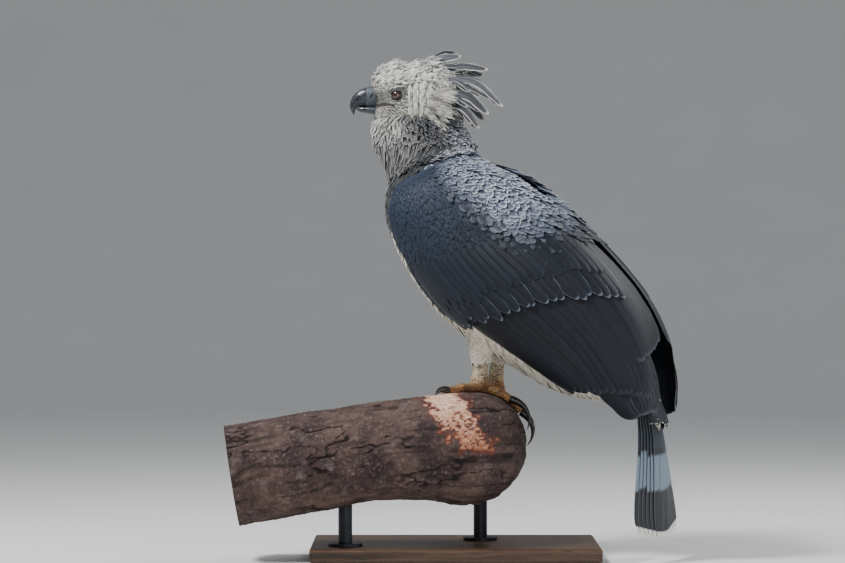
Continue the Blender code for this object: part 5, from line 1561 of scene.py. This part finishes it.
# gape: two soft lips with a near-black line between them, painted shade of the closed mouth's slit, as
# level lines over the head's rings from the bill back to below the eye
def makeGape():
    skins = {key: bareSkin(*colours) for key, colours in gape["skins"].items()}
    s = np.linspace(0, 1, gape["points"])
    u = mouth["stations"][0] + s * (mouth["stations"][1] - mouth["stations"][0])
    row = tableCurve(headTable, u)
    middle, reach = (row[:, 1] + row[:, 3]) / 2, (row[:, 1] - row[:, 3]) / 2
    level = mouthLine((row[:, 0] + row[:, 2]) / 2)
    for side, word in bothSides:
        for label, (lift, out, wide, key) in gape["lips"].items():
            height = level + lift * (1 - 0.5 * s)
            degrees = np.degrees(np.arcsin(np.clip((height - middle) / reach, -1, 1)))
            path = headPoint(u, degrees, out) - headCentre
            path[:, 0] += loresDent(path)
            path = path * [1, side, 1] + headCentre
            taper = np.sqrt(np.clip(1 - s**6, 0.0, 1)) * wide + 0.0001
            rings = pathRings(path, taper, taper, gape["sides"], (0, 0, 1.0))
            tubePiece(f"{label}_{word}", rings, skins[key], "head_feathers")


makeGape()


bristle = {"count": 60, "length": (0.005, 0.009), "half": 0.00022}


# brow tufts: rooted on the brow's egg, from its front over the top to the back
def browTufts(side):
    count, size, s = brow["count"], np.array(brow["size"]), tipStations(5)
    angle = random.uniform(0.45, np.pi + 0.1, count)
    along = random.uniform(-0.95, 0.95, count)
    girth = np.sqrt(1 - along**2)
    local = np.stack([along, girth * np.cos(angle).clip(-0.2), girth * np.sin(angle)], -1)
    root = sloped(local * size * 0.9, brow["slope"]) * [1, side, 1]
    root = root + headCentre + np.array(brow["place"]) * [1, side, 1]
    normal = sloped(unit(local / size) * [1, side, 1], brow["slope"])
    length = random.uniform(*brow["length"], count)
    direction = np.array([1.0, side * 0.1, 0.05]) + random.normal(0, 0.08, (count, 3))
    paths = straightPaths(root, normal, direction, length, s, 0.0008, 0.22, 0.12)
    part = vanes(paths, brow["half"], s, tufts["outline"], tufts["thick"], 0.3)
    tint = blendColours("face", "cheek", random.random(count))
    part = dressed(part, tint, 0.4, length, (0.0, 0.5 + 0.2 * side))
    part["root"][:, 0] = random.random(count)
    return part


# bristles on the lores: thin dark vanes that point forwards over the bill's root
def bristles(side):
    count, s = bristle["count"], tipStations(5)
    u = random.uniform(0.4, 2.2, count)
    degrees = random.uniform(-35, 40, count)
    degrees = degrees if side > 0 else 180 - degrees
    root, normal = surfaceFrame(headPoint, u, degrees, np.zeros(count))
    root[:, 0] += loresDent(root - headCentre)
    length = random.uniform(*bristle["length"], count)
    direction = np.array([-0.9, side * 0.1, 0.35]) + random.normal(0, 0.25, (count, 3))
    paths = straightPaths(root, normal, direction, length, s, 0.0006, 0.4, 0.25)
    part = vanes(paths, bristle["half"], s, (0.9, 0.2, 0.3, 1.2), tufts["thick"], 0.0)
    tint = np.repeat(colourOf["bandDark"][None], count, 0)
    part = dressed(part, tint, 0.0, length, (0.0, 0.5 + 0.1 * side))
    part["root"][:, 0] = random.random(count)
    return part


faceParts = [make(side) for side, _ in bothSides for make in (browTufts, bristles)]
joinVanes("faceTufts", faceParts, headFeather, "head_feathers")
print("head details")


# points and triangles of CAD nodes, their loose triangles merged at shared corners
def solidShell(node):
    copy = bmesh.new()
    copy.from_mesh(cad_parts[node].data)
    bmesh.ops.remove_doubles(copy, verts=copy.verts, dist=1e-6)
    mesh = bpy.data.meshes.new("copy")
    copy.to_mesh(mesh)
    copy.free()
    return meshArrays(mesh)


# area-weighted normals of a triangle mesh
def pointNormals(points, faces):
    a, b, c = (points[faces[:, k]] for k in range(3))
    flat = np.cross(b - a, c - a)
    total = np.zeros_like(points)
    for k in range(3):
        for axis in range(3):
            total[:, axis] += np.bincount(faces[:, k], flat[:, axis], len(points))
    return unit(total)


# leg skin: dry yellow-tan scutes with dark seams, waxy; the toes are orange-brown and darker, partly
# painted shade under the body
def scaleMaterial():
    material, add = newMaterial("leg_scutes", Roughness=0.5, Specular_IOR_Level=0.4)
    body = add("TexCoord")
    cloud = add("TexNoise", {"Vector": body, "Scale": 45.0, "Detail": 4.0})
    fine = add("TexNoise", {"Vector": body, "Scale": 900.0, "Detail": 3.0})
    share = add("MapRange", [cloud, 0.35, 0.65])
    shank = add("Mix", {0: share, 6: "#b3a583", 7: "#dcd2b6"})
    # toes: their own orange-brown, made darker than the shank as painted shade under the body
    toesWithShade = add("Mix", {0: share, 6: "#7f5735", 7: "#b98758"})
    height = add("MapRange", [add("SeparateXYZ", [body], 2), 0.296, 0.326])
    colour = add("Mix", {0: height, 6: toesWithShade, 7: shank})
    plate = add("Attribute", out=2, attribute_name="plate")
    colour = add("Mix", {0: plate, 6: "#4d3d2b", 7: colour})
    normal = add("Bump", {"Height": fine, "Strength": 0.3, "Distance": 0.0004})
    return setShader(material, Base_Color=colour, Normal=normal)


leg = {"voxel": 0.0012, "softening": 8, "scute": 0.0052, "relief": 0.0007}


# Legs: tarsus and foot as one skin, raised into plates between the borders of random cells
def makeLegs():
    material = scaleMaterial()
    for _, word in bothSides:
        shells = [solidShell("tarsus_" + word), solidShell("foot_" + word)]
        points, faces = remeshed(shells, leg["voxel"], leg["softening"])
        normal = pointNormals(points, faces)
        best, second = cellNoise(points * [1, 1, 1.7], leg["scute"], 7)
        plate = ramp(second - best, 0.02, 0.24)
        points = points + normal * ((plate - 0.8) * leg["relief"])[:, None]
        obj = meshPiece("leg_" + word, points, faces, material, "leg_scales")
        addAttribute(obj, "plate", plate)
        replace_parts(obj, "tarsus_" + word, "foot_" + word)
        print("leg", word, len(faces), "triangles")


makeLegs()


# claw horn: black, glossy, worn paler along the length
def clawMaterial():
    material, add = newMaterial("claw_horn", Roughness=0.28, Specular_IOR_Level=0.55)
    body = add("TexCoord")
    cloud = add("TexNoise", {"Vector": body, "Scale": 150.0, "Detail": 5.0})
    share = add("MapRange", [cloud, 0.4, 0.75])
    colour = add("Mix", {0: share, 6: "#101012", 7: "#3a3633"})
    normal = add("Bump", {"Height": cloud, "Strength": 0.2, "Distance": 0.0006})
    return setShader(material, Base_Color=colour, Normal=normal)


# Claws: the solids' own shells, subdivided twice
def makeClaws():
    material = clawMaterial()
    for toe in ("hind", "inner", "middle", "outer"):
        for _, word in bothSides:
            node = f"claw_{toe}_{word}"
            points, faces = solidShell(node)
            obj = meshPiece(f"talon_{toe}_{word}", points, faces, material, "claw_horn")
            finer = obj.modifiers.new("finer", "SUBSURF")
            finer.levels = finer.render_levels = 2
            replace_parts(obj, node)


makeClaws()
print("legs")

# branch: points of its middle and its radius; 'relief' is each layer's height in the bark, 'bare' the
# middle, height, slope and half width of the patch without bark
branch = {
    "relief": {"lump": 0.001, "furrow": 0.0009, "flake": 0.0008, "rough": 0.00045, "crack": -0.0024},
    "sunk": 0.0022, "bare": (-0.028, 0.293, 0.66, 0.05),
    "rows": 300, "sides": 290, "capRows": 9,
    "path": np.array([
        (-0.385, -0.108, 0.146, 0.087), (-0.27, -0.104, 0.164, 0.0885), (-0.15, -0.1, 0.184, 0.0865),
        (-0.048, -0.096, 0.195, 0.089), (0.012, -0.072, 0.196, 0.092), (0.034, -0.018, 0.195, 0.091),
        (0.038, 0.06, 0.195, 0.088), (0.037, 0.135, 0.193, 0.0865), (0.034, 0.205, 0.191, 0.085),
    ]),
}


# bark: dry and matte, brown-grey with dull purple, dark in its cracks, pale orange where it has peeled, the
# bare wood brighter towards the top as painted sunlight
def barkMaterial():
    material, add = newMaterial("branch_bark", Roughness=0.85, Specular_IOR_Level=0.25)
    body = add("TexCoord")
    cloud = add("TexNoise", {"Vector": body, "Scale": 14.0, "Detail": 6.0, "Roughness": 0.65})
    fine = add("TexNoise", {"Vector": body, "Scale": 160.0, "Detail": 6.0, "Roughness": 0.7})
    patch = add("TexNoise", {"Vector": body, "Scale": 33.0, "Detail": 4.0, "Roughness": 0.6})
    grit = add("TexNoise", {"Vector": body, "Scale": 620.0, "Detail": 3.0, "Roughness": 0.7})
    crack, peel, radius, cut = (
        add("Attribute", out=2, attribute_name=key) for key in ("crack", "peel", "radius", "cut"))
    share = add("MapRange", [cloud, 0.36, 0.64])
    lichen = add("MapRange", [patch, 0.58, 0.72, 0.0, 0.5])
    flake = add("MapRange", [fine, 0.52, 0.7, 0.0, 0.7])
    speck = add("MapRange", [grit, 0.5, 0.66, 0.0, 0.65])
    bark = "#33282b"
    for layer, over in ((share, "#64504a"), (lichen, "#7d7674"), (flake, "#8b756a"), (speck, "#1f1818"),
                        (crack, "#1b1514")):
        bark = add("Mix", {0: layer, 6: bark, 7: over})
    bare = add("MapRange", [fine, 0.35, 0.65])
    # painted sunlight: the bare wood turns brighter towards the top of the branch
    high = add("MapRange", [add("SeparateXYZ", [body], 2), 0.215, 0.275])
    dull = add("Mix", {0: bare, 6: "#8a5038", 7: "#cf9f80"})
    paintedLitWood = add("Mix", {0: bare, 6: "#c98f68", 7: "#f3ddcb"})
    wood = add("Mix", {0: high, 6: dull, 7: paintedLitWood})
    wood = add("Mix", {0: speck, 6: wood, 7: "#6d3423"})
    inner = add("MapRange", [peel, 0.35, 0.95])
    wood = add("Mix", {0: inner, 6: "#6a3022", 7: wood})
    outer = add("MapRange", [peel, 0.0, 0.5])
    colour = add("Mix", {0: outer, 6: bark, 7: wood})
    wobble = add("Math", [cloud, 0.01, radius])
    rings = add("Math", [add("Math", [wobble, 2200.0])], operation="SINE")
    rings = add("MapRange", [rings, -1.0, 1.0])
    heart = add("MapRange", [radius, 0.03, 0.04, 0.5, 0.0])
    rim = add("MapRange", [radius, 0.0775, 0.079])
    sawn = "#a98a63"
    for layer, over in ((rings, "#c9ad84"), (heart, "#7f5f40"), (rim, "#3a2c26")):
        sawn = add("Mix", {0: layer, 6: sawn, 7: over})
    colour = add("Mix", {0: cut, 6: colour, 7: sawn})
    height = add("Math", [grit, 0.4, fine])
    normal = add("Bump", {"Height": height, "Strength": 0.8, "Distance": 0.002})
    return setShader(material, Base_Color=colour, Normal=normal)


# Branch: the solid's rings on a fine grid, with cracks and plates of bark cut in and flat sawn ends
def makeBranch():
    path = branch["path"]
    rows, sides, capRows = branch["rows"], branch["sides"], branch["capRows"]
    s = np.linspace(0, 1, rows)
    row = tableCurve(path, s * (len(path) - 1))
    centre, radius = row[:, :3], row[:, 3]
    side, up = sideAndUp(centre, 0, (0, 0, 1.0))
    angle = fullTurn(sides)[None]
    below = np.clip(-np.sin(angle), 0, 1)
    s = s[:, None]
    swell = 0.0022 * np.sin(2 * angle + 9 * s) + 0.0014 * np.sin(3 * angle - 14 * s)
    swell = swell * below + 0.01 * below * np.exp(-(((s - 0.52) / 0.16) ** 2))
    length = np.concatenate([[0], np.linalg.norm(np.diff(centre, axis=0), axis=1).cumsum()])[:, None]
    onSurface = lambda size, turn, along: np.stack(np.broadcast_arrays(
        size * np.cos(turn), size * np.sin(turn), length * along), -1)
    turned = angle + 0.1 * softNoise(onSurface(1, angle, 9), 0.5, 21)
    grain = lambda along, size, seed: softNoise(onSurface(0.088, turned, along), size, seed)
    lump = grain(0.8, 0.04, 31)
    furrow = grain(0.16, 0.0085, 32) + 0.6 * grain(0.22, 0.0045, 33)
    seam = np.abs(grain(0.3, 0.024, 34) + 0.35 * grain(0.5, 0.008, 35))
    crack = (1 - ramp(seam, 0.02, 0.085)) * ramp(grain(0.6, 0.05, 36), -0.35, 0.25)
    flake = ramp(grain(0.55, 0.013, 37), 0.02, 0.1) + 0.7 * ramp(grain(0.7, 0.0065, 38), 0.1, 0.22)
    rough = grain(0.9, 0.004, 39) + 0.6 * grain(0.9, 0.0022, 40)
    reach = radius[:, None] + swell
    outward = np.cos(angle)[..., None] * side[:, None] + np.sin(angle)[..., None] * up[:, None]
    point = centre[:, None] + reach[..., None] * outward
    # bare wood: a slanting patch on the camera's side of the bend, flecked with left bark
    place, high, slope, half = branch["bare"]
    peel = 1 - np.abs(point[..., 0] - place - (high - point[..., 2]) * slope) / half
    peel = peel + 0.35 * softNoise(point, 0.014, 41) + 0.3 * softNoise(point, 0.005, 42)
    peel = ramp(peel, 0.12, 0.55) * ramp(point[..., 2] + 0.01 * softNoise(point, 0.01, 43), 0.18, 0.2)
    peel = peel * ramp(-point[..., 1], 0.0, 0.035)
    fleck = ramp(softNoise(point * [1, 1, 1.4], 0.0042, 44), 0.22, 0.38) * ramp(point[..., 2], 0.296, 0.225)
    peel = peel * (1 - 0.9 * fleck)
    feet = 1 - 0.6 * np.exp(-(((s - 0.6) / 0.12) ** 2)) * ramp(np.sin(angle), 0.3, 0.9)
    layers = {"lump": lump, "furrow": furrow, "flake": flake, "rough": rough, "crack": crack}
    relief = sum(branch["relief"][key] * layer for key, layer in layers.items()) - branch["sunk"]
    reach = reach + relief * (1 - 0.6 * peel) * feet - 0.0008 * peel
    point = centre[:, None] + reach[..., None] * outward
    # sawn ends: each end's ring drawn in to its middle
    share = np.linspace(0.0, 1, capRows, endpoint=False)[:, None, None]
    share[0] = 0.004
    first = centre[0] + (point[0] - centre[0]) * share
    last = centre[-1] + (point[-1] - centre[-1]) * share[::-1]
    rings = np.concatenate([first, point, last])
    obj = tubePiece("branch", rings, barkMaterial(), "branch_wood")
    middle = np.concatenate([np.repeat(centre[:1], capRows, 0), centre, np.repeat(centre[-1:], capRows, 0)])
    cap = np.zeros((capRows, sides))
    fill = lambda grid, ends=0.0: np.concatenate([cap + ends, grid + 0 * angle, cap + ends]).ravel()
    dark = 0.9 * crack + 0.55 * ramp(-furrow, 0.25, 0.9) + 0.25 * (1 - ramp(flake, 0, 0.8))
    addAttribute(obj, "crack", fill(np.clip(dark, 0, 1) * (1 - peel)))
    addAttribute(obj, "peel", fill(peel))
    addAttribute(obj, "cut", fill((s < 1e-6) | (s > 1 - 1e-6), 1.0))
    addAttribute(obj, "radius", np.linalg.norm(rings - middle[:, None], axis=-1).ravel())
    obj.data.set_sharp_from_angle(angle=math.radians(50))
    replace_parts(obj, "perch")
    print("branch", len(obj.data.polygons), "triangles")


makeBranch()


# stand: oiled dark oak base, blackened steel rods; both keep their solids
def makeStand():
    material, add = newMaterial("stand_oak", Roughness=0.42, Specular_IOR_Level=0.4)
    body = add("TexCoord")
    long = add("Mapping", {"Vector": body, "Scale": (3.0, 60.0, 60.0)})
    grain = add("TexNoise", {"Vector": long, "Scale": 2.2, "Detail": 7.0, "Roughness": 0.6,
                             "Distortion": 0.6})
    pores = add("TexNoise", {"Vector": long, "Scale": 14.0, "Detail": 4.0})
    share = add("MapRange", [grain, 0.32, 0.68])
    colour = add("Mix", {0: share, 6: "#2b1d14", 7: "#5e4430"})
    dark = add("MapRange", [pores, 0.55, 0.68, 0.0, 0.7])
    colour = add("Mix", {0: dark, 6: colour, 7: "#1a110c"})
    normal = add("Bump", {"Height": pores, "Strength": 0.25, "Distance": 0.0006})
    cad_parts["stand_base"].data.materials[0] = setShader(material, Base_Color=colour, Normal=normal)
    steel, add = newMaterial("stand_blackened_steel", Metallic=0.9, Roughness=0.45)
    body = add("TexCoord")
    cloud = add("TexNoise", {"Vector": body, "Scale": 80.0, "Detail": 5.0})
    colour = add("Mix", {0: cloud, 6: "#15161a", 7: "#3b3d42"})
    setShader(steel, Base_Color=colour, Roughness=add("MapRange", [cloud, 0.3, 0.7, 0.35, 0.55]))
    for number in (1, 2):
        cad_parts[f"stand_rod_{number}"].data.materials[0] = steel


makeStand()
print("branch and stand")
